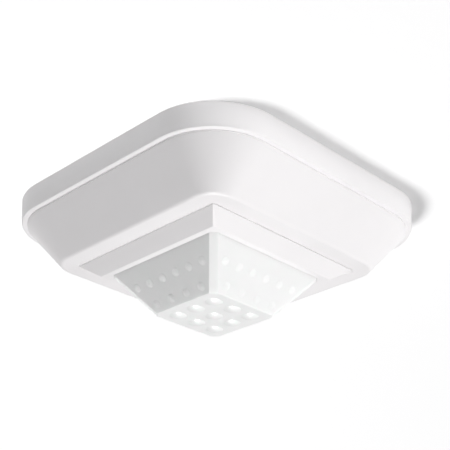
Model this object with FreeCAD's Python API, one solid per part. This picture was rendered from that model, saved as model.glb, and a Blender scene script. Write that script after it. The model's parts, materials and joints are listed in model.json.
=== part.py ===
"""Ceiling alarm siren with a beacon lens.

A square tray screws to the ceiling. A tapered cover hooks onto one side of it and is locked by a captive
screw on the other. A bezel clamps the beacon lens over a lamp board, and a piezo sounder below the lamp
board sounds through the hidden slots and the narrow gap round the bezel.

Millimetres. The mounting face is the plane z = 0, centred on the origin, and +Z points out of the room
side, from the mounting face to the lens.
"""
import FreeCAD, Part
import math
import os

# ---- Driving dimensions: housing -------------------------------------------------------------------
base_side = 120.0            # side of the base at the mounting face
base_corner_radius = 26.0    # corner radius of the base at the mounting face
band_height = 9.0            # height of the plain band round the base
band_draft = 0.8             # how far each side of the band leans in
band_edge_radius = 0.6
floor_thickness = 2.2
rim_skin = 2.0               # outer skin of the hollow rim
rim_groove = 3.2             # width of the rim's hollow, open at the back
rim_flange = 1.6             # thickness of the ledge on top of the rim
tongue_height = 1.5          # lip that locates the cover
tongue_thickness = 1.6
tongue_gap = 0.55
ledge_width = 2.1            # step seen between the band and the cover
seam_gap = 0.05              # parting line under the cover's foot
foot_land = 0.5              # upright strip at the cover's foot, below the slope
foot_edge_radius = 0.15      # rounded foot edge, which the cover rolls on as it opens
cover_rise = 15.6            # from the top of the band to the flat face
cover_wall = 2.4             # thickness of the sloping wall, measured level
face_side = 86.6             # side of the flat face
face_corner_radius = 9.3
face_edge_radius = 2.0
face_thickness = 2.0

# ---- Driving dimensions: bezel and lens ------------------------------------------------------------
bezel_side = 71.7            # side of the bezel where it leaves the flat face
bezel_top_side = 59.8
bezel_rise = 3.9
bezel_wall = 1.8
bezel_top_thickness = 1.6
bezel_rim = 1.6              # inner rim that presses on the lens flange
bezel_corner_radius = 0.6
bezel_edge_radius = 0.35
recess_edge_cut = 0.35       # bevel round the mouth of the recess
sound_gap = 0.3              # narrow gap round the bezel, where the sound comes out
sound_channel = 1.0          # height of the way under the bezel's skirt
recess_depth = 2.6
recess_wall = 1.8
recess_corner_radius = 2.0   # outside the recess, under the face
shelf_thickness = 2.0
slot_length = 18.0           # hidden sound slots in the shelf
slot_width = 2.0
slot_spread = 12.0           # from the middle of a side to the middle of each slot
lens_side = 55.0
lens_end_side = 31.4
lens_rise = 15.0
lens_wall = 1.8
lens_corner_cut = 2.2
lens_inner_cut = 1.5         # corner cut of the lens's hollow
lens_edge_radius = 0.5
lens_gap = 0.06              # round the lens inside the bezel
flange_reach = 3.5           # how far the lens flange stands out
flange_thickness = 1.2
flange_corner_cut = 3.4
gasket_width = 2.2
gasket_thickness = 0.8
end_lenslet_height = 0.7
end_lenslet_radius = 3.2
end_lenslet_pitch = 9.2
side_lenslet_radius = 1.7
side_lenslet_height = 0.25
side_lenslet_rows = ((6, 0.41), (4, 0.83))   # how many, and at what share of the lens's rise
bezel_screw_inset = 4.25     # from the bezel's side to its corner screws
bezel_boss_radius = 2.0
bezel_screw_radius = 1.0
bezel_screw_head_radius = 1.9
bezel_screw_head_height = 1.2
bezel_screw_grip = 3.6       # length of the screw inside the bezel

# ---- Driving dimensions: shared by all pan-head screws ---------------------------------------------
driver_slot = 0.6            # width of the slots that a screwdriver turns
head_round = 0.35            # rounding of a head's edge, as a share of the head's height
cross_reach = 0.6            # reach of the cross recess, as a share of the head's radius
cross_depth = 0.5            # depth of the cross recess, as a share of the head's height

# ---- Driving dimensions: hooks and cover screw -----------------------------------------------------
hook_width = 12.0
hook_spacing = 52.0          # between the middles of the two hooks
hook_thickness = 1.6
hook_inset = 0.5             # from the cover's foot edge to the hook's outer face
hook_drop = 3.2
hook_toe = 0.9               # how far the toe reaches out under the ledge
running_gap = 0.3            # between pieces that swing past one another
fit_gap = 0.06               # radial gap of a turning or sliding shaft
cover_screw_inset = 8.1      # from the cover's foot edge to the middle of the screw
cover_screw_radius = 1.5
cover_screw_head_radius = 3.2
cover_screw_head_height = 2.3
cover_screw_depth = 4.6      # how far the screw reaches into the insert
screw_recess_gap = 0.4
screw_seat_thickness = 2.2
screw_seat_z = 13.2
screw_seat_wall = 1.3
insert_bore_gap = 0.15
insert_wall = 0.7
insert_length = 5.2
screw_boss_height = 7.6
screw_boss_radius = 3.3
retainer_radius = 2.7
retainer_thickness = 0.7
retainer_gap = 0.1

# ---- Driving dimensions: fixing to the ceiling -----------------------------------------------------
fixing_inset = 19.0          # from the base's sides to the fixing holes
fixing_hole_radius = 2.25
fixing_pad_radius = 5.0
fixing_pad_height = 1.2
cable_inset = 15.4           # from the base's side to the middle of the cable entry
cable_hole_radius = 4.5
cable_bore_radius = 3.5
grommet_flange_radius = 5.9
grommet_flange_thickness = 1.2

# ---- Driving dimensions: main board ----------------------------------------------------------------
standoff_height = 5.4
standoff_radius = 3.2
board_thickness = 1.6
board_left = -38.0
board_right = 26.0
board_half_width = 38.0
board_corner_cut = 9.0
board_screw_x = 22.0
board_screw_y = 34.0
board_screw_radius = 1.2
board_screw_head_radius = 2.5
board_screw_head_height = 1.6
board_screw_grip = 4.0
terminal_pitch = 5.0
terminal_ways = 6
terminal_depth = 8.0
terminal_height = 9.0
terminal_x = -33.5
terminal_screw_radius = 1.6
terminal_mouth = 3.2         # width and height of the wire mouths
terminal_sill = 1.2          # from the board to the mouths
terminal_slope_depth = 2.0   # sloping edge over the mouths
terminal_slope_drop = 3.0
terminal_screw_sink = 1.0
terminal_slot_depth = 0.8
chip_length = 10.0
chip_width = 4.0
chip_thickness = 1.5
chip_lead_pitch = 1.27
chip_lead_width = 0.45
chip_lead_reach = 1.0        # how far the leads stand out on each side
chip_lead_height = 0.4
chip_stand = 0.15            # gap under the chip's body
chip_x = -8.0
chip_y = 29.0
transformer_x = 9.0
transformer_y = 29.5
transformer_length = 12.0
transformer_width = 10.0
transformer_height = 8.6
transformer_cheek = 1.6      # thickness of the cheeks and the foot
winding_sink = 0.3           # from the edge of the cheeks to the winding
capacitor_radius = 4.0
capacitor_height = 9.0
capacitor_y = -29.5
capacitor_first_x = 7.2
capacitor_pitch = 9.6
capacitor_edge_radius = 0.5
capacitor_groove_rise = 1.2  # from the board to the crimped groove
capacitor_groove_width = 0.6
capacitor_groove_depth = 0.3
status_beyond_post = 6.0     # from the lamp post's middle to the status lamp, along Y
status_radius = 1.5
status_height = 3.0          # to where the round tip starts
status_foot_reach = 0.3
status_foot_height = 0.8

# ---- Driving dimensions: switches ------------------------------------------------------------------
tamper_x = -31.0
tamper_y = 24.5
tamper_side = 8.0
tamper_body_height = 4.8
tamper_floor = 0.8
tamper_cap_thickness = 1.0
tamper_flange_radius = 2.5
tamper_flange_thickness = 0.8
tamper_stem_radius = 1.5
tamper_stem_reach = 1.2      # how far the stem stands out of the cap
tamper_post_radius = 1.5
spring_wire = 0.36           # across the wire's corners
spring_wire_sides = 8
spring_turns = 4.0
dip_x = -8.0
dip_y = -29.5
dip_length = 11.2
dip_width = 6.4
dip_height = 3.2
dip_ways = 4
dip_pitch = 2.54
dip_slider_length = 1.7
dip_slider_width = 1.3
dip_travel = 1.6
dip_slot_depth = 1.2
dip_slider_stand = 0.7       # how far a slider stands out of the body
dip_slider_edge = 0.25
dip_gap = 0.12
trimmer_x = -30.0
trimmer_y = -23.5
trimmer_side = 6.6
trimmer_height = 4.2
rotor_radius = 2.2
rotor_thickness = 0.9
rotor_sink = 0.7             # how deep the rotor sits in the body
rotor_shaft_radius = 0.9
rotor_shaft_length = 1.5
rotor_cross_depth = 0.5
rotor_cross_reach = 1.54

# ---- Driving dimensions: sounder and beacon --------------------------------------------------------
sounder_radius = 17.5
sounder_height = 8.0
sounder_wall = 1.4
sounder_step = 1.3           # width of the step that carries the diaphragm
sounder_step_height = 2.4
diaphragm_thickness = 0.25
diaphragm_gap = 0.1
element_radius = 11.0
element_thickness = 0.25
lid_thickness = 1.4
lid_hole_radius = 3.5
lid_port_radius = 1.4
lid_port_circle = 9.5
lid_ports = 8
sounder_peg_x = 12.0
sounder_peg_radius = 1.2
sounder_peg_stand = 1.0      # how far the pegs stand out below the board
lamp_board_side = 45.0
lamp_board_thickness = 1.2
lamp_board_corner_radius = 2.0
post_inset = 4.0
post_length = 11.5
post_across_flats = 4.5
post_stud_radius = 1.2
post_nut_height = 1.6
post_stud_end = 0.6          # how far the stud stands out of its nut
lamp_screw_radius = 0.95
lamp_screw_head_radius = 1.8
lamp_screw_head_height = 1.1
lamp_screw_grip = 3.2
lamp_rows = 3
lamp_pitch = 8.0
lamp_side = 3.2
lamp_base_height = 1.0
lamp_dome_radius = 1.3
lamp_dome_sink = 0.2         # overlap that joins the dome to its base
reflector_floor_side = 30.0
reflector_top_side = 40.0
reflector_height = 5.1
reflector_wall = 0.8
reflector_floor_corner = 1.5
reflector_top_corner = 3.0
reflector_peg_x = 12.5
reflector_peg_radius = 0.9
reflector_peg_stand = 0.4    # how far the pegs stand out below the lamp board
link_x = -20.3
link_pins_count = 5
link_pitch = 2.54
link_pin_radius = 0.4
link_spacer_height = 2.5
link_pin_stand = 1.0
hole_gap = 0.1               # radial gap of pins and screws through the boards

# ---- Driving dimensions: reserve supply ------------------------------------------------------------
cell_radius = 7.1
cell_length = 49.0
cell_nub_radius = 2.6
cell_nub_length = 1.0
cell_edge_radius = 0.6
cell_x = 36.0
holder_floor = 1.2
holder_wall = 1.3
holder_side_height = 7.0
holder_end_height = 12.6
holder_end_wall = 2.2
holder_gap = 0.2
holder_peg_radius = 1.5
holder_peg_y = 16.0
holder_peg_lift = 0.4        # from the mounting face to the end of the pegs
contact_thickness = 0.4
contact_width = 8.0
contact_spring_length = 1.0
contact_spring_radius = 3.2

# ---- Aids for building -----------------------------------------------------------------------------
past = 1.0                   # how far a cutter runs past what it cuts
near = 0.01                  # how close an edge must lie to a plane to be picked

# ---- Sizes worked out from the driving dimensions --------------------------------------------------
base_half = base_side / 2
fixing_pitch = base_side - 2 * fixing_inset
cable_x = cable_inset - base_half
band_half = base_half - band_draft
foot_half = band_half - ledge_width
foot_radius = base_corner_radius - band_draft - ledge_width
cover_screw_y = foot_half - cover_screw_inset
foot_z = band_height + seam_gap
face_half = face_side / 2
face_z = band_height + cover_rise
slope_z = foot_z + foot_land
wall_lean = (foot_half - face_half) / (face_z - slope_z)
corner_lean = (foot_radius - face_corner_radius) / (face_z - slope_z)
tongue_top_z = band_height + tongue_height
tongue_half = foot_half - cover_wall - (tongue_top_z - slope_z) * wall_lean - tongue_gap
pivot_y = foot_edge_radius - foot_half
pivot_z = foot_z + foot_edge_radius
tray_half = tongue_half - tongue_thickness
groove_half = band_half - rim_skin
bezel_half = bezel_side / 2
bezel_top_half = bezel_top_side / 2
bezel_top_z = face_z + bezel_rise
recess_half = bezel_half + sound_gap
shelf_z = face_z - recess_depth
shelf_low_z = shelf_z - shelf_thickness
lens_half = lens_side / 2
lens_end_half = lens_end_side / 2
flange_half = lens_half + flange_reach
flange_z = shelf_z + gasket_thickness
flange_top_z = flange_z + flange_thickness
lens_end_z = bezel_top_z + lens_rise
lens_lean = (lens_half - lens_end_half) / lens_rise
bezel_screw_at = bezel_half - bezel_screw_inset
screw_seat_radius = cover_screw_head_radius + screw_recess_gap
screw_seat_low_z = screw_seat_z - screw_seat_thickness
screw_boss_z = floor_thickness + screw_boss_height
board_z = floor_thickness + standoff_height
board_top = board_z + board_thickness
lamp_board_half = lamp_board_side / 2
lamp_board_z = board_top + post_length
lamp_board_top = lamp_board_z + lamp_board_thickness
post_at = lamp_board_half - post_inset
status_x = board_screw_x
status_y = post_at + status_beyond_post
tamper_body_top = board_top + tamper_body_height
tamper_cap_top = tamper_body_top + tamper_cap_thickness
tamper_flange_top = tamper_body_top - hole_gap
tamper_floor_z = board_top + tamper_floor
tamper_stem_top = tamper_cap_top + tamper_stem_reach
sounder_top = board_top + sounder_height
diaphragm_z = board_top + sounder_wall + sounder_step_height
diaphragm_radius = sounder_radius - sounder_wall - diaphragm_gap
cell_z = floor_thickness + holder_floor + holder_gap + cell_radius
quarter_points = [(1, 1), (-1, 1), (-1, -1), (1, -1)]


# ---- Building blocks -------------------------------------------------------------------------------
def vec(x, y, z):
    return FreeCAD.Vector(x, y, z)


def block(x_low, x_high, y_low, y_high, z_low, z_high):
    """Box between two corners."""
    return Part.makeBox(x_high - x_low, y_high - y_low, z_high - z_low, vec(x_low, y_low, z_low))


def block_at(x, y, length, width, z_low, z_high):
    """Box centred on (x, y)."""
    return block(x - length / 2, x + length / 2, y - width / 2, y + width / 2, z_low, z_high)


def post(x, y, radius, z_low, z_high):
    """Upright cylinder."""
    return Part.makeCylinder(radius, z_high - z_low, vec(x, y, z_low))


def rounded_square(half, radius, z):
    """Wire of a square centred on the Z axis, with an arc at each corner."""
    flat = half - radius
    bow = flat + radius * math.sqrt(0.5)
    edges = []
    for turn in range(4):
        spin = FreeCAD.Rotation(vec(0, 0, 1), 90 * turn)
        low = spin.multVec(vec(half, -flat, z))
        high = spin.multVec(vec(half, flat, z))
        middle = spin.multVec(vec(bow, bow, z))
        end = spin.multVec(vec(flat, half, z))
        edges.append(Part.makeLine(low, high))
        edges.append(Part.Arc(high, middle, end).toShape())
    return Part.Wire(edges)


def cut_square(half, cut, z):
    """Wire of a square centred on the Z axis, with a straight cut across each corner."""
    flat = half - cut
    points = []
    for turn in range(4):
        spin = FreeCAD.Rotation(vec(0, 0, 1), 90 * turn)
        points.append(spin.multVec(vec(half, -flat, z)))
        points.append(spin.multVec(vec(half, flat, z)))
    return Part.makePolygon(points + points[:1])


def loft(low_wire, high_wire):
    """Solid with straight sides between two wires of the same kind."""
    return Part.makeLoft([low_wire, high_wire], True, True)


def rounded_prism(half, radius, z_low, z_high):
    return Part.Face(rounded_square(half, radius, z_low)).extrude(vec(0, 0, z_high - z_low))


def cut_prism(half, cut, z_low, z_high):
    return Part.Face(cut_square(half, cut, z_low)).extrude(vec(0, 0, z_high - z_low))


def joined(first, others):
    """One solid from pieces that touch or overlap."""
    return first.fuse(others).removeSplitter()


def at_corners(make, reach):
    """One copy at each corner of a square, from make(x, y)."""
    return [make(sx * reach, sy * reach) for sx, sy in quarter_points]


def driver_cross(x, y, reach, z_low, z_high):
    """Cross-shaped cutter for the recess that a screwdriver fits."""
    along = block_at(x, y, 2 * reach, driver_slot, z_low, z_high)
    across = block_at(x, y, driver_slot, 2 * reach, z_low, z_high)
    return along.fuse(across)


def edges_in_plane(shape, z):
    """Edges that lie wholly at a height."""
    return [edge for edge in shape.Edges
            if edge.BoundBox.ZMin > z - near and edge.BoundBox.ZMax < z + near]


def round_edges(shape, radius, z):
    """Edges at a height that are longer than a radius, so the seam of a cylinder isn't among them."""
    return [edge for edge in shape.Edges if edge.BoundBox.ZMin > z - near and edge.Length > radius]


def pan_screw(x, y, seat_z, head_radius, head_height, shank_radius, tip_z):
    """Screw with its head above seat_z and its tip below, with a cross recess in the head."""
    top = seat_z + head_height
    head = post(x, y, head_radius, seat_z, top)
    head = head.makeFillet(head_height * head_round, round_edges(head, head_radius, top))
    shank = post(x, y, shank_radius, tip_z, seat_z)
    cross = driver_cross(x, y, head_radius * cross_reach, top - head_height * cross_depth, top + past)
    return joined(head, [shank]).cut(cross)


def cover_outer(z):
    """Half side and corner radius of the cover's sloping outer surface at a height."""
    rise = z - slope_z
    return foot_half - rise * wall_lean, foot_radius - rise * corner_lean


def cover_section(inset, z):
    """Wire of the cover's outer surface at a height, moved in by inset."""
    half, radius = cover_outer(z)
    return rounded_square(half - inset, radius - inset, z)


def hook_places():
    return (-hook_spacing / 2, hook_spacing / 2)


def hook_y():
    """Outer face of the hooks."""
    return -foot_half + hook_inset


def hook_low_z():
    return foot_z - hook_drop


# ---- Base ------------------------------------------------------------------------------------------
def base_shell():
    """Tray with a hollow rim and the tongue that locates the cover."""
    band_radius = base_corner_radius - band_draft
    outside = loft(rounded_square(base_half, base_corner_radius, 0),
                   rounded_square(band_half, band_radius, band_height))
    outside = outside.makeFillet(band_edge_radius, edges_in_plane(outside, band_height))
    tongue_radius = base_corner_radius - (base_half - tongue_half)
    tongue = rounded_prism(tongue_half, tongue_radius, band_height / 2, tongue_top_z)
    tray_radius = tongue_radius - tongue_thickness
    tray = rounded_prism(tray_half, tray_radius, floor_thickness, tongue_top_z + past)
    groove_radius = band_radius - rim_skin
    groove = rounded_prism(groove_half, groove_radius, -past, band_height - rim_flange)
    core = rounded_prism(groove_half - rim_groove, groove_radius - rim_groove, -past, band_height)
    return joined(outside, [tongue]).cut(tray).cut(groove.cut(core))


def hook_pocket(x):
    """Room in the rim for one hook of the cover, over its whole swing about the cover's foot edge."""
    swing = math.hypot(hook_y() + hook_thickness - pivot_y, pivot_z - hook_low_z()) + running_gap
    half = hook_width / 2 + running_gap
    outer_y = hook_y() - running_gap
    mouth = block(x - half, x + half, outer_y, pivot_y + swing, pivot_z - swing, tongue_top_z + past)
    undercut = block(x - half, x + half, outer_y - hook_toe, outer_y + hook_thickness,
                     pivot_z - swing, band_height - rim_flange)
    return mouth.fuse(undercut)


def make_base_plate():
    plate = base_shell()
    pad_top = floor_thickness + fixing_pad_height
    inside_floor = floor_thickness / 2
    pads = at_corners(lambda x, y: post(x, y, fixing_pad_radius, inside_floor, pad_top), fixing_pitch / 2)
    holes = at_corners(lambda x, y: post(x, y, fixing_hole_radius, -past, pad_top + past), fixing_pitch / 2)
    standoffs = []
    for sx, sy in quarter_points:
        x = sx * board_screw_x
        y = sy * board_screw_y
        standoffs.append(post(x, y, standoff_radius, inside_floor, board_z))
        pilot_low = board_z - board_screw_grip - running_gap
        holes.append(post(x, y, board_screw_radius + fit_gap, pilot_low, board_z + past))
    boss = post(0, cover_screw_y, screw_boss_radius, inside_floor, screw_boss_z)
    web = block(-screw_boss_radius / 2, screw_boss_radius / 2, cover_screw_y,
                tray_half + tongue_thickness / 2, inside_floor, band_height)
    insert_radius = cover_screw_radius + insert_bore_gap + insert_wall
    holes.append(post(0, cover_screw_y, insert_radius, screw_boss_z - insert_length, screw_boss_z + past))
    holes.append(post(cable_x, 0, cable_hole_radius, -past, floor_thickness + past))
    holes.append(post(0, cover_screw_y, retainer_radius + running_gap, screw_boss_z, screw_seat_low_z))
    for side in (-1, 1):
        holes.append(post(cell_x, side * holder_peg_y, holder_peg_radius, -past, floor_thickness + past))
    plate = joined(plate, pads + standoffs + [boss, web])
    return plate.cut(holes + [hook_pocket(x) for x in hook_places()])


def make_brass_insert():
    bore = cover_screw_radius + insert_bore_gap
    low = screw_boss_z - insert_length
    body = post(0, cover_screw_y, bore + insert_wall, low, screw_boss_z)
    return body.cut(post(0, cover_screw_y, bore, low - past, screw_boss_z + past))


def make_cable_grommet():
    top = floor_thickness + grommet_flange_thickness
    sleeve = post(cable_x, 0, cable_hole_radius, 0, floor_thickness)
    flange = post(cable_x, 0, grommet_flange_radius, floor_thickness, top)
    return joined(sleeve, [flange]).cut(post(cable_x, 0, cable_bore_radius, -past, top + past))


# ---- Cover -----------------------------------------------------------------------------------------
def cover_shell():
    """Outer form of the cover and the shell cut from it, with rounded edges at the face and the foot."""
    foot = rounded_prism(foot_half, foot_radius, foot_z, slope_z)
    outside = joined(foot, [loft(cover_section(0, slope_z), cover_section(0, face_z))])
    outside = outside.makeFillet(face_edge_radius, edges_in_plane(outside, face_z))
    outside = outside.makeFillet(foot_edge_radius, edges_in_plane(outside, foot_z))
    under_face = face_z - face_thickness
    entry = rounded_prism(foot_half - cover_wall, foot_radius - cover_wall, foot_z - past, slope_z)
    inside = joined(entry, [loft(cover_section(cover_wall, slope_z), cover_section(cover_wall, under_face))])
    return outside, outside.cut(inside)


def sound_slots():
    """Two slots on each side of the shelf, outside the lens flange."""
    across = (flange_half + recess_half) / 2
    slots = []
    for turn in range(4):
        for side in (-1, 1):
            slot = block_at(across, side * slot_spread, slot_width, slot_length, shelf_low_z - past,
                            shelf_z + past)
            slots.append(slot.rotate(vec(0, 0, 0), vec(0, 0, 1), 90 * turn))
    return slots


def cover_hook(x):
    """Hook that drops through the ledge and catches under it."""
    low = hook_low_z()
    left = x - hook_width / 2
    right = x + hook_width / 2
    shank = block(left, right, hook_y(), hook_y() + hook_thickness, low, foot_z)
    toe = block(left, right, hook_y() - hook_toe, hook_y(), low, band_height - rim_flange - running_gap)
    return shank.fuse(toe)


def make_front_cover():
    outside, cover = cover_shell()
    frame = rounded_prism(recess_half + recess_wall, recess_corner_radius, shelf_low_z,
                          face_z - face_thickness / 2)
    seat = post(0, cover_screw_y, screw_seat_radius + screw_seat_wall, screw_seat_low_z, face_z)
    seat = seat.common(outside)
    tamper_post = post(tamper_x, tamper_y, tamper_post_radius, tamper_stem_top + running_gap,
                       shelf_low_z + shelf_thickness / 2)
    cover = joined(cover, [frame, seat, tamper_post] + [cover_hook(x) for x in hook_places()])
    recess_radius = bezel_corner_radius + sound_gap
    cutters = [rounded_prism(recess_half, recess_radius, shelf_z, face_z + past)]
    mouth = rounded_square(recess_half + recess_edge_cut, recess_radius + recess_edge_cut, face_z)
    cutters.append(loft(rounded_square(recess_half, recess_radius, face_z - recess_edge_cut), mouth))
    cutters.append(cut_prism(flange_half - gasket_width, flange_corner_cut, shelf_low_z - past,
                             shelf_z + past))
    cutters.append(post(0, cover_screw_y, screw_seat_radius, screw_seat_z, face_z + past))
    cutters.append(post(0, cover_screw_y, cover_screw_radius + fit_gap, screw_seat_low_z - past,
                        screw_seat_z + past))
    screw_hole = bezel_screw_radius + fit_gap
    cutters += at_corners(lambda x, y: post(x, y, screw_hole, shelf_low_z - past, shelf_z + past),
                          bezel_screw_at)
    return cover.cut(cutters + sound_slots())


def bezel_taper(inset, z_low, z_high):
    """Tapered part of the bezel between two heights, moved in by inset."""
    lean = (bezel_half - bezel_top_half) / bezel_rise
    low = bezel_half - (z_low - face_z) * lean - inset
    high = bezel_half - (z_high - face_z) * lean - inset
    return loft(rounded_square(low, bezel_corner_radius, z_low),
                rounded_square(high, bezel_corner_radius, z_high))


def make_lens_bezel():
    skirt_z = shelf_z + sound_channel
    roof_z = bezel_top_z - bezel_top_thickness
    taper = bezel_taper(0, face_z, bezel_top_z)
    taper = taper.makeFillet(bezel_edge_radius, edges_in_plane(taper, bezel_top_z))
    outside = joined(rounded_prism(bezel_half, bezel_corner_radius, shelf_z, face_z), [taper])
    skirt = outside.common(block_at(0, 0, base_side, base_side, skirt_z, bezel_top_z + past))
    hollow = joined(rounded_prism(bezel_half - bezel_wall, bezel_corner_radius, skirt_z - past, face_z),
                    [bezel_taper(bezel_wall, face_z, roof_z)])
    opening_half = lens_half + lens_gap
    rim = cut_prism(opening_half + bezel_rim, lens_corner_cut, flange_top_z, roof_z)
    bosses = at_corners(lambda x, y: post(x, y, bezel_boss_radius, shelf_z, roof_z), bezel_screw_at)
    bosses = [boss.common(outside) for boss in bosses]
    bezel = joined(skirt.cut(hollow), [rim] + bosses)
    grip_top = shelf_z + bezel_screw_grip + running_gap
    holes = at_corners(lambda x, y: post(x, y, bezel_screw_radius + fit_gap, shelf_z - past, grip_top),
                       bezel_screw_at)
    opening = cut_prism(opening_half, lens_corner_cut, shelf_z - past, bezel_top_z + past)
    return bezel.cut(holes + [opening])


def dome(radius, height):
    """Low round lenslet on the plane z = 0, sunk a little so that it joins what it stands on."""
    ball = (radius * radius + height * height) / (2 * height)
    sphere = Part.makeSphere(ball, vec(0, 0, height - ball))
    return sphere.common(post(0, 0, 2 * radius, -height / 2, height + past))


def end_lenslets():
    domes = []
    for row in (-1, 0, 1):
        for column in (-1, 0, 1):
            lenslet = dome(end_lenslet_radius, end_lenslet_height)
            lenslet.translate(vec(row * end_lenslet_pitch, column * end_lenslet_pitch, lens_end_z))
            domes.append(lenslet)
    return domes


def side_lenslets():
    """Rows of lenslets across each sloping side."""
    tilt = math.degrees(math.atan2(lens_rise, lens_half - lens_end_half))
    domes = []
    for count, share in side_lenslet_rows:
        reach = lens_half - share * lens_rise * lens_lean
        for number in range(count):
            along = (2 * (number + 0.5) / count - 1) * (reach - lens_corner_cut)
            lenslet = dome(side_lenslet_radius, side_lenslet_height)
            lenslet.rotate(vec(0, 0, 0), vec(0, 1, 0), tilt)
            lenslet.translate(vec(reach, along, bezel_top_z + share * lens_rise))
            for turn in range(4):
                domes.append(lenslet.copy().rotate(vec(0, 0, 0), vec(0, 0, 1), 90 * turn))
    return domes


def make_beacon_lens():
    flange = cut_prism(flange_half, flange_corner_cut, flange_z, flange_top_z)
    collar = cut_prism(lens_half, lens_corner_cut, flange_top_z, bezel_top_z)
    pyramid = loft(cut_square(lens_half, lens_corner_cut, bezel_top_z),
                   cut_square(lens_end_half, lens_corner_cut, lens_end_z))
    sloping = [edge for edge in pyramid.Edges if edge.BoundBox.ZLength > lens_rise / 2]
    pyramid = pyramid.makeFillet(lens_edge_radius, sloping + edges_in_plane(pyramid, lens_end_z))
    inner_half = lens_half - lens_wall
    inner_end_half = lens_end_half - lens_wall + lens_wall * lens_lean
    hollow = cut_prism(inner_half, lens_inner_cut, flange_z - past, bezel_top_z)
    inner_pyramid = loft(cut_square(inner_half, lens_inner_cut, bezel_top_z),
                         cut_square(inner_end_half, lens_inner_cut, lens_end_z - lens_wall))
    shell = joined(flange, [collar, pyramid]).cut(joined(hollow, [inner_pyramid]))
    return joined(shell, end_lenslets() + side_lenslets())


def make_lens_gasket():
    outer = cut_prism(flange_half, flange_corner_cut, shelf_z, flange_z)
    inner = cut_prism(flange_half - gasket_width, flange_corner_cut, shelf_z - past, flange_z + past)
    return outer.cut(inner)


def make_bezel_screws():
    """Screws up through the shelf into the bezel, heads below the shelf."""
    screws = []
    for sx, sy in quarter_points:
        screw = pan_screw(sx * bezel_screw_at, sy * bezel_screw_at, 0, bezel_screw_head_radius,
                          bezel_screw_head_height, bezel_screw_radius, -shelf_thickness - bezel_screw_grip)
        screw.rotate(vec(0, 0, 0), vec(1, 0, 0), 180)
        screw.translate(vec(0, 0, shelf_low_z))
        screws.append(screw)
    return Part.makeCompound(screws)


def make_screw_retainer():
    top = screw_seat_low_z - retainer_gap
    low = top - retainer_thickness
    ring = post(0, cover_screw_y, retainer_radius, low, top)
    return ring.cut(post(0, cover_screw_y, cover_screw_radius + fit_gap, low - past, top + past))


def make_cover_screw():
    seat = screw_seat_z + fit_gap
    return pan_screw(0, cover_screw_y, seat, cover_screw_head_radius, cover_screw_head_height,
                     cover_screw_radius, screw_boss_z - cover_screw_depth)


# ---- Main board ------------------------------------------------------------------------------------
def link_pin_places():
    return [(number - (link_pins_count - 1) / 2) * link_pitch for number in range(link_pins_count)]


def make_circuit_board():
    cut = board_corner_cut
    outline = [vec(board_left + cut, -board_half_width, board_z),
               vec(board_right, -board_half_width, board_z),
               vec(board_right, board_half_width, board_z),
               vec(board_left + cut, board_half_width, board_z),
               vec(board_left, board_half_width - cut, board_z),
               vec(board_left, -board_half_width + cut, board_z)]
    board = Part.Face(Part.makePolygon(outline + outline[:1])).extrude(vec(0, 0, board_thickness))
    low = board_z - past
    high = board_top + past
    holes = [post(sx * board_screw_x, sy * board_screw_y, board_screw_radius + hole_gap, low, high)
             for sx, sy in quarter_points]
    holes += at_corners(lambda x, y: post(x, y, post_stud_radius + hole_gap, low, high), post_at)
    holes += [post(side * sounder_peg_x, 0, sounder_peg_radius + hole_gap, low, high) for side in (-1, 1)]
    holes += [post(link_x, y, link_pin_radius + hole_gap, low, high) for y in link_pin_places()]
    return board.cut(holes)


def make_board_screws():
    return Part.makeCompound([
        pan_screw(sx * board_screw_x, sy * board_screw_y, board_top, board_screw_head_radius,
                  board_screw_head_height, board_screw_radius, board_z - board_screw_grip)
        for sx, sy in quarter_points])


def terminal_places():
    return [(number - (terminal_ways - 1) / 2) * terminal_pitch for number in range(terminal_ways)]


def make_terminal_block():
    top = board_top + terminal_height
    length = terminal_ways * terminal_pitch
    body = block_at(terminal_x, 0, terminal_depth, length, board_top, top)
    outer_x = terminal_x - terminal_depth / 2
    slope = Part.makePolygon([vec(outer_x, -length, top), vec(outer_x + terminal_slope_depth, -length, top),
                              vec(outer_x, -length, top - terminal_slope_drop), vec(outer_x, -length, top)])
    body = body.cut(Part.Face(slope).extrude(vec(0, 2 * length, 0)))
    mouth_low = board_top + terminal_sill
    cutters = []
    for y in terminal_places():
        cutters.append(block(outer_x - past, terminal_x + past, y - terminal_mouth / 2,
                             y + terminal_mouth / 2, mouth_low, mouth_low + terminal_mouth))
        cutters.append(post(terminal_x, y, terminal_screw_radius + fit_gap, mouth_low, top + past))
    return body.cut(cutters)


def make_terminal_screws():
    top = board_top + terminal_height - terminal_screw_sink
    low = board_top + terminal_sill + 0.7 * terminal_mouth
    screws = []
    for y in terminal_places():
        slot = block_at(terminal_x, y, 4 * terminal_screw_radius, driver_slot, top - terminal_slot_depth,
                        top + past)
        screws.append(post(terminal_x, y, terminal_screw_radius, low, top).cut(slot))
    return Part.makeCompound(screws)


def make_controller_chip():
    body = block_at(chip_x, chip_y, chip_length, chip_width, board_top + chip_stand,
                    board_top + chip_thickness)
    pieces = []
    count = int((chip_length - chip_lead_width) / chip_lead_pitch)
    for number in range(count):
        x = chip_x + (number - (count - 1) / 2) * chip_lead_pitch
        pieces.append(block_at(x, chip_y, chip_lead_width, chip_width + 2 * chip_lead_reach, board_top,
                               board_top + chip_lead_height))
    return joined(body, pieces)


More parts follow.
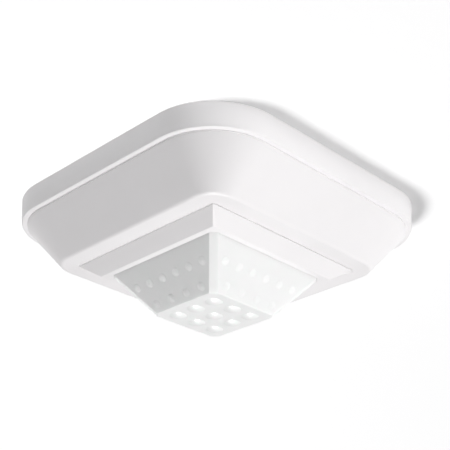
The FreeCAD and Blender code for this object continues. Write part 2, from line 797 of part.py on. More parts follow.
def make_boost_transformer():
    """Winding between two square cheeks, on a foot."""
    top = board_top + transformer_height
    foot = block_at(transformer_x, transformer_y, transformer_length, transformer_width, board_top,
                    board_top + transformer_cheek)
    cheek_at = (transformer_length - transformer_cheek) / 2
    cheeks = [block_at(transformer_x + side * cheek_at, transformer_y, transformer_cheek, transformer_width,
                       board_top, top) for side in (-1, 1)]
    radius = (transformer_height - transformer_cheek) / 2 - winding_sink
    winding = Part.makeCylinder(radius, 2 * cheek_at, vec(transformer_x - cheek_at, transformer_y,
                                                          top - radius - winding_sink), vec(1, 0, 0))
    return joined(foot, cheeks + [winding])


def make_smoothing_capacitors():
    """Two round cans, each with a crimped groove near its foot."""
    top = board_top + capacitor_height
    groove_low = board_top + capacitor_groove_rise
    cans = []
    for number in range(2):
        x = capacitor_first_x + number * capacitor_pitch
        can = post(x, capacitor_y, capacitor_radius, board_top, top)
        can = can.makeFillet(capacitor_edge_radius, round_edges(can, capacitor_radius, top))
        groove = post(x, capacitor_y, capacitor_radius + past, groove_low,
                      groove_low + capacitor_groove_width)
        groove = groove.cut(post(x, capacitor_y, capacitor_radius - capacitor_groove_depth, board_top, top))
        cans.append(can.cut(groove))
    return Part.makeCompound(cans)


def make_status_lamp():
    foot = post(status_x, status_y, status_radius + status_foot_reach, board_top,
                board_top + status_foot_height)
    body = post(status_x, status_y, status_radius, board_top, board_top + status_height)
    tip = Part.makeSphere(status_radius, vec(status_x, status_y, board_top + status_height))
    return joined(foot, [body, tip])


# ---- Switches --------------------------------------------------------------------------------------
def make_tamper_body():
    body = block_at(tamper_x, tamper_y, tamper_side, tamper_side, board_top, tamper_body_top)
    bore = tamper_flange_radius + hole_gap
    return body.cut(post(tamper_x, tamper_y, bore, tamper_floor_z, tamper_body_top + past))


def make_tamper_cap():
    cap = block_at(tamper_x, tamper_y, tamper_side, tamper_side, tamper_body_top, tamper_cap_top)
    return cap.cut(post(tamper_x, tamper_y, tamper_stem_radius + fit_gap, tamper_body_top - past,
                        tamper_cap_top + past))


def make_tamper_plunger():
    flange = post(tamper_x, tamper_y, tamper_flange_radius, tamper_flange_top - tamper_flange_thickness,
                  tamper_flange_top)
    stem = post(tamper_x, tamper_y, tamper_stem_radius, tamper_flange_top, tamper_stem_top)
    return joined(flange, [stem])


def make_tamper_spring():
    """Coil between the floor of the switch and the plunger's flange."""
    low = tamper_floor_z + spring_wire / 2
    height = tamper_flange_top - tamper_flange_thickness - spring_wire / 2 - low
    radius = tamper_flange_radius - spring_wire
    path = Part.Wire(Part.makeHelix(height / spring_turns, height, radius).Edges)
    angles = [2 * math.pi * number / spring_wire_sides for number in range(spring_wire_sides + 1)]
    corners = [vec(radius + spring_wire / 2 * math.cos(angle), 0, spring_wire / 2 * math.sin(angle))
               for angle in angles]
    coil = path.makePipeShell([Part.makePolygon(corners)], True, True)
    coil.translate(vec(tamper_x, tamper_y, low))
    return coil


def dip_place(number):
    return dip_x + (number - (dip_ways - 1) / 2) * dip_pitch


def make_mode_switch_body():
    top = board_top + dip_height
    body = block_at(dip_x, dip_y, dip_length, dip_width, board_top, top)
    width = dip_slider_width + 2 * dip_gap
    length = dip_slider_length + dip_travel + 2 * dip_gap
    slots = [block_at(dip_place(number), dip_y, width, length, top - dip_slot_depth, top + past)
             for number in range(dip_ways)]
    return body.cut(slots)


def make_mode_slider(number):
    """One slider at the near end of its slot, free to travel along +Y."""
    top = board_top + dip_height
    y = dip_y - dip_travel / 2
    slider = block_at(dip_place(number), y, dip_slider_width, dip_slider_length,
                      top - dip_slot_depth + fit_gap, top + dip_slider_stand)
    rim = [edge for edge in slider.Edges if edge.BoundBox.ZMin > top + dip_slider_stand - near]
    return slider.makeFillet(dip_slider_edge, rim)


def make_trimmer_body():
    top = board_top + trimmer_height
    body = block_at(trimmer_x, trimmer_y, trimmer_side, trimmer_side, board_top, top)
    well = post(trimmer_x, trimmer_y, rotor_radius + hole_gap, top - rotor_sink, top + past)
    shaft = post(trimmer_x, trimmer_y, rotor_shaft_radius + fit_gap,
                 top - rotor_sink - rotor_shaft_length - hole_gap, top)
    return body.cut([well, shaft])


def make_trimmer_rotor():
    low = board_top + trimmer_height - rotor_sink + fit_gap
    high = low + rotor_thickness
    disc = post(trimmer_x, trimmer_y, rotor_radius, low, high)
    shaft = post(trimmer_x, trimmer_y, rotor_shaft_radius, low - rotor_shaft_length, low)
    return joined(disc, [shaft]).cut(driver_cross(trimmer_x, trimmer_y, rotor_cross_reach,
                                                  high - rotor_cross_depth, high + past))


# ---- Sounder ---------------------------------------------------------------------------------------
def make_sounder_case():
    body = post(0, 0, sounder_radius, board_top, sounder_top)
    inner = sounder_radius - sounder_wall
    upper = post(0, 0, inner, diaphragm_z, sounder_top + past)
    lower = post(0, 0, inner - sounder_step, board_top + sounder_wall, sounder_top)
    pegs = [post(side * sounder_peg_x, 0, sounder_peg_radius, board_z - sounder_peg_stand, board_top)
            for side in (-1, 1)]
    return joined(body.cut([upper, lower]), pegs)


def make_sounder_lid():
    plate = post(0, 0, sounder_radius, sounder_top, sounder_top + lid_thickness)
    spigot = post(0, 0, diaphragm_radius, diaphragm_z + diaphragm_thickness, sounder_top)
    spigot = spigot.cut(post(0, 0, diaphragm_radius - sounder_step, diaphragm_z, sounder_top))
    low = sounder_top - past
    high = sounder_top + lid_thickness + past
    ports = [post(0, 0, lid_hole_radius, low, high)]
    for number in range(lid_ports):
        angle = 2 * math.pi * number / lid_ports
        ports.append(post(lid_port_circle * math.cos(angle), lid_port_circle * math.sin(angle),
                          lid_port_radius, low, high))
    return joined(plate, [spigot]).cut(ports)


def make_sounder_diaphragm():
    return post(0, 0, diaphragm_radius, diaphragm_z, diaphragm_z + diaphragm_thickness)


def make_sounder_element():
    return post(0, 0, element_radius, diaphragm_z - element_thickness, diaphragm_z)


# ---- Beacon ----------------------------------------------------------------------------------------
def hexagon(x, y, across_flats, z_low, z_high):
    reach = across_flats / math.sqrt(3)
    angles = [math.radians(60 * number) for number in range(7)]
    points = [vec(x + reach * math.cos(angle), y + reach * math.sin(angle), z_low) for angle in angles]
    return Part.Face(Part.makePolygon(points)).extrude(vec(0, 0, z_high - z_low))


def lamp_post(x, y):
    body = hexagon(x, y, post_across_flats, board_top, lamp_board_z)
    stud = post(x, y, post_stud_radius, board_z - post_nut_height - post_stud_end, board_top)
    bore_low = lamp_board_z - lamp_screw_grip - running_gap
    return joined(body, [stud]).cut(post(x, y, lamp_screw_radius + fit_gap, bore_low, lamp_board_z + past))


def post_nut(x, y):
    nut = hexagon(x, y, post_across_flats, board_z - post_nut_height, board_z)
    return nut.cut(post(x, y, post_stud_radius + fit_gap, board_z - post_nut_height - past, board_z + past))


def make_lamp_board():
    board = rounded_prism(lamp_board_half, lamp_board_corner_radius, lamp_board_z, lamp_board_top)
    low = lamp_board_z - past
    high = lamp_board_top + past
    holes = at_corners(lambda x, y: post(x, y, lamp_screw_radius + hole_gap, low, high), post_at)
    holes += [post(link_x, y, link_pin_radius + hole_gap, low, high) for y in link_pin_places()]
    holes += [post(side * reflector_peg_x, 0, reflector_peg_radius + hole_gap, low, high) for side in (-1, 1)]
    return board.cut(holes)


def lamp_screw(x, y):
    return pan_screw(x, y, lamp_board_top, lamp_screw_head_radius, lamp_screw_head_height,
                     lamp_screw_radius, lamp_board_z - lamp_screw_grip)


def lamp_places():
    middle = (lamp_rows - 1) / 2
    return [((row - middle) * lamp_pitch, (column - middle) * lamp_pitch)
            for row in range(lamp_rows) for column in range(lamp_rows)]


def make_beacon_lamps():
    lamps = []
    top = lamp_board_top + lamp_base_height
    for x, y in lamp_places():
        base = block_at(x, y, lamp_side, lamp_side, lamp_board_top, top)
        ball = Part.makeSphere(lamp_dome_radius, vec(x, y, top))
        ball = ball.common(block_at(x, y, lamp_side, lamp_side, top - lamp_dome_sink, top + lamp_side))
        lamps.append(joined(base, [ball]))
    return Part.makeCompound(lamps)


def make_beacon_reflector():
    floor_half = reflector_floor_side / 2
    top_half = reflector_top_side / 2
    top = lamp_board_top + reflector_height
    outside = loft(rounded_square(floor_half, reflector_floor_corner, lamp_board_top),
                   rounded_square(top_half, reflector_top_corner, top))
    flare = (top_half - floor_half) / reflector_height
    low = lamp_board_top + reflector_wall
    inside_low_half = floor_half + reflector_wall * flare - reflector_wall
    inside_high_half = top_half + past * flare - reflector_wall
    inside = loft(rounded_square(inside_low_half, reflector_floor_corner, low),
                  rounded_square(inside_high_half, reflector_top_corner, top + past))
    window = lamp_side + 2 * running_gap
    windows = [block_at(x, y, window, window, lamp_board_top - past, top) for x, y in lamp_places()]
    pegs = [post(side * reflector_peg_x, 0, reflector_peg_radius, lamp_board_z - reflector_peg_stand,
                 lamp_board_top) for side in (-1, 1)]
    return joined(outside.cut([inside] + windows), pegs)


def make_link_pins():
    return Part.makeCompound([post(link_x, y, link_pin_radius, board_z - link_pin_stand,
                                   lamp_board_top + link_pin_stand) for y in link_pin_places()])


def make_link_spacer():
    length = link_pins_count * link_pitch
    body = block_at(link_x, 0, link_pitch, length, board_top, board_top + link_spacer_height)
    high = board_top + link_spacer_height + past
    return body.cut([post(link_x, y, link_pin_radius, board_top - past, high) for y in link_pin_places()])


# ---- Reserve supply --------------------------------------------------------------------------------
def cell_end_low():
    return -(cell_length + cell_nub_length) / 2


def cell_end_high():
    return (cell_length + cell_nub_length) / 2


def along_y(radius, y_low, y_high):
    """Cylinder on the cell's axis."""
    return Part.makeCylinder(radius, y_high - y_low, vec(cell_x, y_low, cell_z), vec(0, 1, 0))


def make_battery_holder():
    """Open cradle with two end walls, pegged to the floor of the base."""
    half = cell_radius + holder_gap + holder_wall
    low_y = cell_end_low() - contact_spring_length - contact_thickness
    high_y = cell_end_high() + contact_thickness
    cradle = block(cell_x - half, cell_x + half, low_y - holder_end_wall, high_y + holder_end_wall,
                   floor_thickness, floor_thickness + holder_side_height)
    ends = block(cell_x - half, cell_x + half, low_y - holder_end_wall, high_y + holder_end_wall,
                 floor_thickness, floor_thickness + holder_end_height)
    ends = ends.cut(block(cell_x - half - past, cell_x + half + past, low_y, high_y, 0,
                          floor_thickness + holder_end_height + past))
    bed = along_y(cell_radius + holder_gap, low_y, high_y)
    slots = []
    for y in (low_y, high_y):
        slots.append(block(cell_x - contact_width / 2, cell_x + contact_width / 2, y - contact_thickness,
                           y + contact_thickness, cell_z - cell_radius / 2, cell_z + cell_radius))
    pegs = [post(cell_x, side * holder_peg_y, holder_peg_radius, holder_peg_lift, floor_thickness)
            for side in (-1, 1)]
    return joined(cradle, [ends] + pegs).cut([bed] + slots)


def make_backup_battery():
    low = cell_end_low()
    can = along_y(cell_radius, low, low + cell_length)
    rim = [edge for edge in can.Edges if edge.Length > cell_radius and edge.BoundBox.YLength < near]
    can = can.makeFillet(cell_edge_radius, rim)
    nub = along_y(cell_nub_radius, low + cell_length, low + cell_length + cell_nub_length)
    return joined(can, [nub])


def make_battery_contacts():
    """Plate for the nub and plate with a spring cone for the flat end."""
    low_y = cell_end_low() - contact_spring_length
    z_low = cell_z - cell_radius / 2
    z_high = cell_z + cell_radius
    flat = block(cell_x - contact_width / 2, cell_x + contact_width / 2, low_y - contact_thickness, low_y,
                 z_low, z_high)
    cone = Part.makeCone(contact_spring_radius, contact_spring_radius / 2, contact_spring_length,
                         vec(cell_x, low_y, cell_z), vec(0, 1, 0))
    high_y = cell_end_high()
    plate = block(cell_x - contact_width / 2, cell_x + contact_width / 2, high_y, high_y + contact_thickness,
                  z_low, z_high)
    return Part.makeCompound([joined(flat, [cone]), plate])


# ---- Export ----------------------------------------------------------------------------------------
def save(name, shape):
    shape.exportStep("parts/" + name + ".step")
    line = "%-20s solids %2d  valid %s  volume %.1f"
    print(line % (name, len(shape.Solids), shape.isValid(), shape.Volume))


def main():
    os.makedirs("parts", exist_ok=True)
    save("base_plate", make_base_plate())
    save("brass_insert", make_brass_insert())
    save("cable_grommet", make_cable_grommet())
    save("front_cover", make_front_cover())
    save("lens_bezel", make_lens_bezel())
    save("beacon_lens", make_beacon_lens())
    save("lens_gasket", make_lens_gasket())
    save("bezel_screws", make_bezel_screws())
    save("cover_screw", make_cover_screw())
    save("screw_retainer", make_screw_retainer())
    save("circuit_board", make_circuit_board())
    save("board_screws", make_board_screws())
    save("terminal_block", make_terminal_block())
    save("terminal_screws", make_terminal_screws())
    save("controller_chip", make_controller_chip())
    save("boost_transformer", make_boost_transformer())
    save("smoothing_capacitors", make_smoothing_capacitors())
    save("status_lamp", make_status_lamp())
    save("tamper_body", make_tamper_body())
    save("tamper_cap", make_tamper_cap())
    save("tamper_plunger", make_tamper_plunger())
    save("tamper_spring", make_tamper_spring())
    save("mode_switch_body", make_mode_switch_body())
    for number in range(dip_ways):
        save("mode_slider_%d" % (number + 1), make_mode_slider(number))
    save("trimmer_body", make_trimmer_body())
    save("trimmer_rotor", make_trimmer_rotor())
    save("sounder_case", make_sounder_case())
    save("sounder_lid", make_sounder_lid())
    save("sounder_diaphragm", make_sounder_diaphragm())
    save("sounder_element", make_sounder_element())
    save("lamp_board", make_lamp_board())
    save("lamp_posts", Part.makeCompound(at_corners(lamp_post, post_at)))
    save("post_nuts", Part.makeCompound(at_corners(post_nut, post_at)))
    save("lamp_screws", Part.makeCompound(at_corners(lamp_screw, post_at)))
    save("beacon_lamps", make_beacon_lamps())
    save("beacon_reflector", make_beacon_reflector())
    save("link_pins", make_link_pins())
    save("link_spacer", make_link_spacer())
    save("battery_holder", make_battery_holder())
    save("backup_battery", make_backup_battery())
    save("battery_contacts", make_battery_contacts())


main()
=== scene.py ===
"""Looks of the ceiling alarm siren: camera, light, floor, materials and fine detail round the CAD frame."""
import json
import math

import bmesh
import bpy
from mathutils import Matrix, Vector


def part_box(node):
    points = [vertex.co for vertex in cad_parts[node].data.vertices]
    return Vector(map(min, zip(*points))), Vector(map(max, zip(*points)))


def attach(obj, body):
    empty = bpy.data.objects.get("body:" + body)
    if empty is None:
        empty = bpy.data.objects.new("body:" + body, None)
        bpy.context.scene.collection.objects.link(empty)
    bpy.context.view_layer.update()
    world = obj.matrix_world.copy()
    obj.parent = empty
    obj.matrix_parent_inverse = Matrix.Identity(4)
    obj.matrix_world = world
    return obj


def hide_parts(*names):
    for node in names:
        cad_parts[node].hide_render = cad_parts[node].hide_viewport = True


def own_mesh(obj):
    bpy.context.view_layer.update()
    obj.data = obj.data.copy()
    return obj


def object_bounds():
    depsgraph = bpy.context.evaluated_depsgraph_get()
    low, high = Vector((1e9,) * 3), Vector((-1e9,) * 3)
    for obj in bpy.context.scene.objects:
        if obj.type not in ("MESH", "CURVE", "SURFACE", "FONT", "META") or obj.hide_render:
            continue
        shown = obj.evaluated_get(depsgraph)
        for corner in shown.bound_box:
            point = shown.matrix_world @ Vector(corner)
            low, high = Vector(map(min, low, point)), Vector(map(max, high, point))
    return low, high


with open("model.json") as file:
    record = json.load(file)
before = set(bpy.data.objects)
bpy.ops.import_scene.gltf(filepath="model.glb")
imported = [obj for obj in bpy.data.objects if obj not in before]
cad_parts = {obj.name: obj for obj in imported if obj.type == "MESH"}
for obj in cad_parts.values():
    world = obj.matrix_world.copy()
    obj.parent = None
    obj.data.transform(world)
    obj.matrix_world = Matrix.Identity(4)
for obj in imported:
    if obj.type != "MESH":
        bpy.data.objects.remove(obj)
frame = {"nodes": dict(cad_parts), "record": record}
cad_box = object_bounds()
nodes = frame["nodes"]

# ---- Camera: below a ceiling unit, near one of its corners, so upside down in this frame -------------
BASE_SIDE = cad_box[1].x - cad_box[0].x
CAMERA_YAW = 45.727
CAMERA_PITCH = 27.289
CAMERA_ROLL = 1.121
CAMERA_DISTANCE = 3.3382 * BASE_SIDE      # along the view, to the middle of the mounting face
CAMERA_SHIFT_RIGHT = -0.0262 * BASE_SIDE  # of the mounting face's middle in the view
CAMERA_SHIFT_UP = 0.0467 * BASE_SIDE
CAMERA_LENS = 83.98
CAMERA_SENSOR = 36.0
CAMERA_NEAR = 0.01
CAMERA_FAR = 20.0


def turns(count):
    """Angles of a full turn in equal steps."""
    return [2 * math.pi * number / count for number in range(count)]


def turned(v):
    """From the ceiling's frame, where the unit hangs down, to the model's, where it stands up."""
    return Vector((-v.x, v.y, -v.z))


def make_camera():
    """The camera under the ceiling, worked out there and then turned into the model's frame."""
    yaw = math.radians(CAMERA_YAW)
    pitch = math.radians(CAMERA_PITCH)
    roll = math.radians(CAMERA_ROLL)
    ahead = Vector((math.cos(yaw) * math.cos(pitch), math.sin(yaw) * math.cos(pitch), math.sin(pitch)))
    level_right = Vector((math.sin(yaw), -math.cos(yaw), 0.0))
    level_up = level_right.cross(ahead)
    right = math.cos(roll) * level_right + math.sin(roll) * level_up
    up = math.cos(roll) * level_up - math.sin(roll) * level_right
    place = -CAMERA_SHIFT_RIGHT * right - CAMERA_SHIFT_UP * up - CAMERA_DISTANCE * ahead
    data = bpy.data.cameras.new("camera")
    data.lens = CAMERA_LENS
    data.sensor_width = CAMERA_SENSOR
    data.clip_start = CAMERA_NEAR
    data.clip_end = CAMERA_FAR
    camera = bpy.data.objects.new("camera", data)
    bpy.context.scene.collection.objects.link(camera)
    axes = Matrix((turned(right), turned(up), -turned(ahead))).transposed().to_4x4()
    axes.translation = turned(place)
    camera.matrix_world = axes
    bpy.context.scene.camera = camera


# ---- Light and floor ---------------------------------------------------------------------------------
WORLD_COLOUR = (0.985, 0.975, 1.0, 1.0)
WORLD_STRENGTH = 0.12
PART_LAMP_COLOUR = (1.0, 0.99, 0.99)
PART_LAMP_DISTANCE = 1.6
PART_LAMP_SIZE = 0.45
PART_LAMPS = {                            # direction from the part, and watts
    "key": ((-0.25, -1.0, 0.15), 13.5),
    "front": ((0.0, 0.0, 1.0), 7.0),
    "fill": ((-0.3, 0.3, 1.0), 14.7),
}
FLOOR_LAMP_COLOUR = (1.0, 1.0, 1.0)
FLOOR_LAMP_TOWARDS = (0.36, 0.66, 1.0)
FLOOR_LAMP_DISTANCE = 5.0
FLOOR_LAMP_SIZE = 2.25
FLOOR_LAMP_WATTS = 206.0
FLOOR_RADIUS = 3.0
FLOOR_STEPS = 96
FLOOR_DROP = 0.0002                       # below the mounting face
FLOOR_GLOW = 0.28
BACKDROP_HEIGHT = 2.5
BACKDROP_GLOW = 0.9


def aim(obj, target):
    """Turns a lamp so that it shines at a point."""
    obj.rotation_mode = "QUATERNION"
    obj.rotation_quaternion = (target - obj.location).to_track_quat("-Z", "Y")


def area_light(name, towards, distance, size, watts, colour):
    """Soft disc light in a direction from the part."""
    data = bpy.data.lights.new(name, "AREA")
    data.shape = "DISK"
    data.size = size
    data.energy = watts
    data.color = colour
    lamp = bpy.data.objects.new(name, data)
    bpy.context.scene.collection.objects.link(lamp)
    lamp.location = Vector(towards).normalized() * distance
    aim(lamp, Vector((0.0, 0.0, 0.0)))
    lamp.visible_camera = False
    return lamp


def limit_light(lamp, floor, state):
    """The lamp lights only the floor (INCLUDE) or everything but the floor (EXCLUDE)."""
    receivers = bpy.data.collections.new(lamp.name + "_receivers")
    receivers.objects.link(floor)
    receivers.collection_objects[0].light_linking.link_state = state
    lamp.light_linking.receiver_collection = receivers


def make_world():
    """Dim even light, a little cool."""
    world = bpy.data.worlds.new("studio")
    world.use_nodes = True
    background = world.node_tree.nodes["Background"]
    background.inputs["Color"].default_value = WORLD_COLOUR
    background.inputs["Strength"].default_value = WORLD_STRENGTH
    bpy.context.scene.world = world


def make_light(floor):
    """Three soft lamps on the part; one on the floor alone, which throws the part's shadow."""
    make_world()
    for name, (towards, watts) in PART_LAMPS.items():
        lamp = area_light(name, towards, PART_LAMP_DISTANCE, PART_LAMP_SIZE, watts, PART_LAMP_COLOUR)
        limit_light(lamp, floor, "EXCLUDE")
    floor_lamp = area_light("floor_lamp", FLOOR_LAMP_TOWARDS, FLOOR_LAMP_DISTANCE, FLOOR_LAMP_SIZE,
                            FLOOR_LAMP_WATTS, FLOOR_LAMP_COLOUR)
    limit_light(floor_lamp, floor, "INCLUDE")
    bpy.context.scene.view_settings.view_transform = "Standard"


def stage_piece(name, mesh, material):
    """Adds a piece of the surroundings."""
    piece = bpy.data.objects.new(name, mesh)
    bpy.context.scene.collection.objects.link(piece)
    mesh.materials.append(material)
    return piece


def make_floor():
    """Round sheet close behind the mounting face."""
    mesh = bpy.data.meshes.new("floor")
    low = cad_box[0].z - FLOOR_DROP
    rim = [Vector((math.cos(angle), math.sin(angle), 0.0)) * FLOOR_RADIUS + Vector((0.0, 0.0, low))
           for angle in turns(FLOOR_STEPS)]
    mesh.from_pydata(rim, [], [range(len(rim))])
    return stage_piece("floor", mesh, paper("floor_paper", FLOOR_GLOW))


def make_backdrop():
    """Pale wall round the floor. Only the camera sees it, so it lights nothing."""
    mesh = bpy.data.meshes.new("backdrop")
    rings = [[Vector((math.cos(angle) * FLOOR_RADIUS, math.sin(angle) * FLOOR_RADIUS, height))
              for angle in turns(FLOOR_STEPS)] for height in (0.0, BACKDROP_HEIGHT)]
    faces = []
    for here in range(FLOOR_STEPS):
        there = (here + 1) % FLOOR_STEPS
        faces.append((here, there, there + FLOOR_STEPS, here + FLOOR_STEPS))
    mesh.from_pydata(rings[0] + rings[1], [], faces)
    backdrop = stage_piece("backdrop", mesh, paper("backdrop_paper", BACKDROP_GLOW))
    backdrop.visible_diffuse = False
    backdrop.visible_glossy = False
    backdrop.visible_transmission = False
    backdrop.visible_shadow = False


# ---- Materials ---------------------------------------------------------------------------------------
PAPER_WHITES = ((0.955, 0.955, 0.955), (0.965, 0.965, 0.965))
HOUSING_WHITES = ((0.84, 0.83, 0.835), (0.875, 0.865, 0.87))
LENS_WHITES = ((0.88, 0.905, 0.892), (0.91, 0.935, 0.92))
CERAMIC_GREYS = ((0.62, 0.60, 0.56), (0.80, 0.78, 0.74))
HOUSING_ROUGHNESS = 0.42
HOUSING_DEPTH_SHARE = 0.08                # how much of the light goes under the housing's skin
UNEVEN_GLOSS = 0.05                       # how far roughness strays either way
PLASTIC_RELIEF = 0.00001
PLASTIC_EDGE = 0.00025
METAL_STRETCH = (1.0, 1.0, 8.0)           # tool marks run across the model's Z, so round an upright pin
METAL_RELIEF = 0.00001
METAL_EDGE = 0.0001
SOFT_RELIEF = 0.00003
RUBBER_EDGE = 0.0002
BEVEL_SAMPLES = 6
NOISE_LOW = 0.3                           # most noise values lie between these two
NOISE_HIGH = 0.7
BOARD_PATCHES = 260.0                     # features per metre
BOARD_PATCH_EDGES = (0.42, 0.46)          # where a patch starts to darken, and where it has

# Darkest and lightest colour, roughness, and how much of the light goes under the skin.
PLASTICS = {
    "white_plastic": (*HOUSING_WHITES, HOUSING_ROUGHNESS, HOUSING_DEPTH_SHARE),
    "natural_nylon": ((0.74, 0.71, 0.62), (0.80, 0.77, 0.69), 0.4, 0.3),
    "terminal_plastic": ((0.03, 0.22, 0.10), (0.045, 0.27, 0.13), 0.38),
    "black_plastic": ((0.018, 0.018, 0.020), (0.030, 0.030, 0.032), 0.42),
    "bobbin_plastic": ((0.040, 0.035, 0.030), (0.065, 0.055, 0.045), 0.45),
    "capacitor_sleeve": ((0.012, 0.022, 0.085), (0.02, 0.035, 0.12), 0.25),
    "switch_plastic": ((0.38, 0.020, 0.016), (0.47, 0.03, 0.022), 0.4),
    "slider_plastic": ((0.76, 0.76, 0.73), (0.82, 0.82, 0.79), 0.4),
    "trimmer_plastic": ((0.015, 0.07, 0.30), (0.022, 0.095, 0.37), 0.36),
    "battery_sleeve": ((0.03, 0.14, 0.07), (0.045, 0.18, 0.09), 0.25),
}
# Darkest and lightest colour, and the lowest roughness.
METALS = {
    "brass": ((0.62, 0.44, 0.18), (0.80, 0.62, 0.30), 0.32),
    "zinc_steel": ((0.55, 0.56, 0.58), (0.74, 0.75, 0.77), 0.31),
    "spring_steel": ((0.50, 0.50, 0.50), (0.66, 0.66, 0.67), 0.31),
    "trimmer_metal": ((0.58, 0.48, 0.24), (0.76, 0.64, 0.36), 0.32),
    "bright_reflector": ((0.80, 0.80, 0.81), (0.88, 0.88, 0.88), 0.14),
    "gold_pins": ((0.72, 0.52, 0.20), (0.88, 0.68, 0.34), 0.18),
}
# Darkest and lightest colour.
RUBBERS = {
    "black_rubber": ((0.016, 0.016, 0.017), (0.034, 0.033, 0.032)),
    "grey_rubber": ((0.22, 0.22, 0.23), (0.30, 0.30, 0.31)),
}
LAMP_RESINS = {
    "red_lamp": ((0.42, 0.012, 0.010), (0.55, 0.02, 0.015)),
    "lamp_body": ((0.80, 0.74, 0.42), (0.88, 0.84, 0.58)),
}
BOARDS = {
    "green_board": ((0.008, 0.085, 0.035), (0.014, 0.125, 0.052)),
    "white_board": ((0.70, 0.71, 0.70), (0.76, 0.77, 0.76)),
}

# Where the painted light goes: the lens and the housing's narrow gaps, in millimetres, as in the model.
LENS_HALF = 27.5
LENS_END_HALF = 15.7
LENS_RISE = 15.0
LENS_CUT = 2.2                            # cut off each side at a corner
LENS_TOP_MARGIN = 0.1                     # keeps the corners' painted highlight off the lens's end
LENSLET_ROWS = ((6, 0.41, 1.0), (4, 0.83, 0.3))   # how many, at what share of the lens's rise, how bright their painted highlight is
LENSLET_RADIUS = 1.7
LENSLET_EDGE = 0.6                        # over which a lenslet's painted highlight fades
COVER_HOOK_DROP = 3.2                     # from the cover's foot down to its hooks' lowest point
FOOT_STRIP = 0.35                         # how high the painted light at the cover's foot reaches
FOOT_STRIP_MARGIN = 0.1                   # how far below the foot it starts
SOUND_GAP_MIDDLE = 36.0                   # from the part's middle
SOUND_GAP_REACH = 0.5                     # either side of the gap's middle
SOUND_GAP_DEPTH = 2.7
SOUND_GAP_TOP_MARGIN = 0.05

# How strong the painted light is: a faint glow over the lens, painted highlights on its corners and lenslets,
# and light painted over the shade in the sound gap and at the cover's foot.
LENS_PAINTED_GLOW = 0.03
CORNER_PAINTED_HIGHLIGHT = 0.05
LENSLET_PAINTED_HIGHLIGHT = 0.05
GAP_PAINTED_LIGHT = 0.13
FOOT_PAINTED_LIGHT = 0.2


def node_box(node):
    """Lowest and highest corners of a CAD node, in millimetres."""
    return [Vector(corner) * 1000.0 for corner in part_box(node)]


def new_material(name):
    """A material, its node tree and its shader."""
    material = bpy.data.materials.new(name)
    material.use_nodes = True
    return material, material.node_tree, material.node_tree.nodes["Principled BSDF"]


def paper(name, glow):
    """White paper with a faint fibre, lit a little from behind."""
    material, tree, shader = new_material(name)
    fibre = noise(tree, scale=900.0)
    tree.links.new(colour_between(tree, fibre, *PAPER_WHITES), shader.inputs["Base Color"])
    shader.inputs["Roughness"].default_value = 0.95
    shader.inputs["Specular IOR Level"].default_value = 0.0
    shader.inputs["Emission Color"].default_value = (1.0, 1.0, 1.0, 1.0)
    shader.inputs["Emission Strength"].default_value = glow
    return material


def noise(tree, scale, detail=3.0, roughness=0.5, stretch=(1.0, 1.0, 1.0)):
    """Noise in the model's own metres; scale is in features per metre."""
    place = tree.nodes.new("ShaderNodeTexCoord")
    mapping = tree.nodes.new("ShaderNodeMapping")
    mapping.inputs["Scale"].default_value = stretch
    texture = tree.nodes.new("ShaderNodeTexNoise")
    texture.inputs["Scale"].default_value = scale
    texture.inputs["Detail"].default_value = detail
    texture.inputs["Roughness"].default_value = roughness
    tree.links.new(place.outputs["Object"], mapping.inputs["Vector"])
    tree.links.new(mapping.outputs["Vector"], texture.inputs["Vector"])
    return texture.outputs["Fac"]


def between(tree, value, low, high):
    """Spreads a noise value over a range."""
    spread = tree.nodes.new("ShaderNodeMapRange")
    spread.inputs["From Min"].default_value = NOISE_LOW
    spread.inputs["From Max"].default_value = NOISE_HIGH
    spread.inputs["To Min"].default_value = low
    spread.inputs["To Max"].default_value = high
    tree.links.new(value, spread.inputs["Value"])
    return spread.outputs["Result"]


def colour_between(tree, value, dark, light):
    """Spreads a noise value over two colours."""
    ramp = tree.nodes.new("ShaderNodeValToRGB")
    ramp.color_ramp.elements[0].position = NOISE_LOW
    ramp.color_ramp.elements[0].color = (*dark, 1.0)
    ramp.color_ramp.elements[1].position = NOISE_HIGH
    ramp.color_ramp.elements[1].color = (*light, 1.0)
    tree.links.new(value, ramp.inputs["Fac"])
    return ramp.outputs["Color"]


def bump(tree, shader, height, strength, distance, edge_radius=0.0):
    """Fine relief in the shader's normal, over softened edges."""
    node = tree.nodes.new("ShaderNodeBump")
    node.inputs["Strength"].default_value = strength
    node.inputs["Distance"].default_value = distance
    tree.links.new(height, node.inputs["Height"])
    if edge_radius:
        bevel = tree.nodes.new("ShaderNodeBevel")
        bevel.samples = BEVEL_SAMPLES
        bevel.inputs["Radius"].default_value = edge_radius
        tree.links.new(bevel.outputs["Normal"], node.inputs["Normal"])
    tree.links.new(node.outputs["Normal"], shader.inputs["Normal"])


def moulded_plastic(name, dark, light, roughness, depth_share=0.0):
    """Injection-moulded plastic: fine spark grain, slight flow shading and uneven gloss."""
    material, tree, shader = new_material(name)
    flow = noise(tree, scale=22.0, detail=4.0)
    tree.links.new(colour_between(tree, flow, dark, light), shader.inputs["Base Color"])
    gloss = noise(tree, scale=160.0, detail=4.0)
    tree.links.new(between(tree, gloss, roughness - UNEVEN_GLOSS, roughness + UNEVEN_GLOSS),
                   shader.inputs["Roughness"])
    grain = noise(tree, scale=5000.0, detail=2.0)
    bump(tree, shader, grain, strength=0.6, distance=PLASTIC_RELIEF, edge_radius=PLASTIC_EDGE)
    if depth_share:
        shader.inputs["Subsurface Weight"].default_value = depth_share
        shader.inputs["Subsurface Radius"].default_value = (1.0, 0.98, 0.95)
        shader.inputs["Subsurface Scale"].default_value = 0.0012
    return material


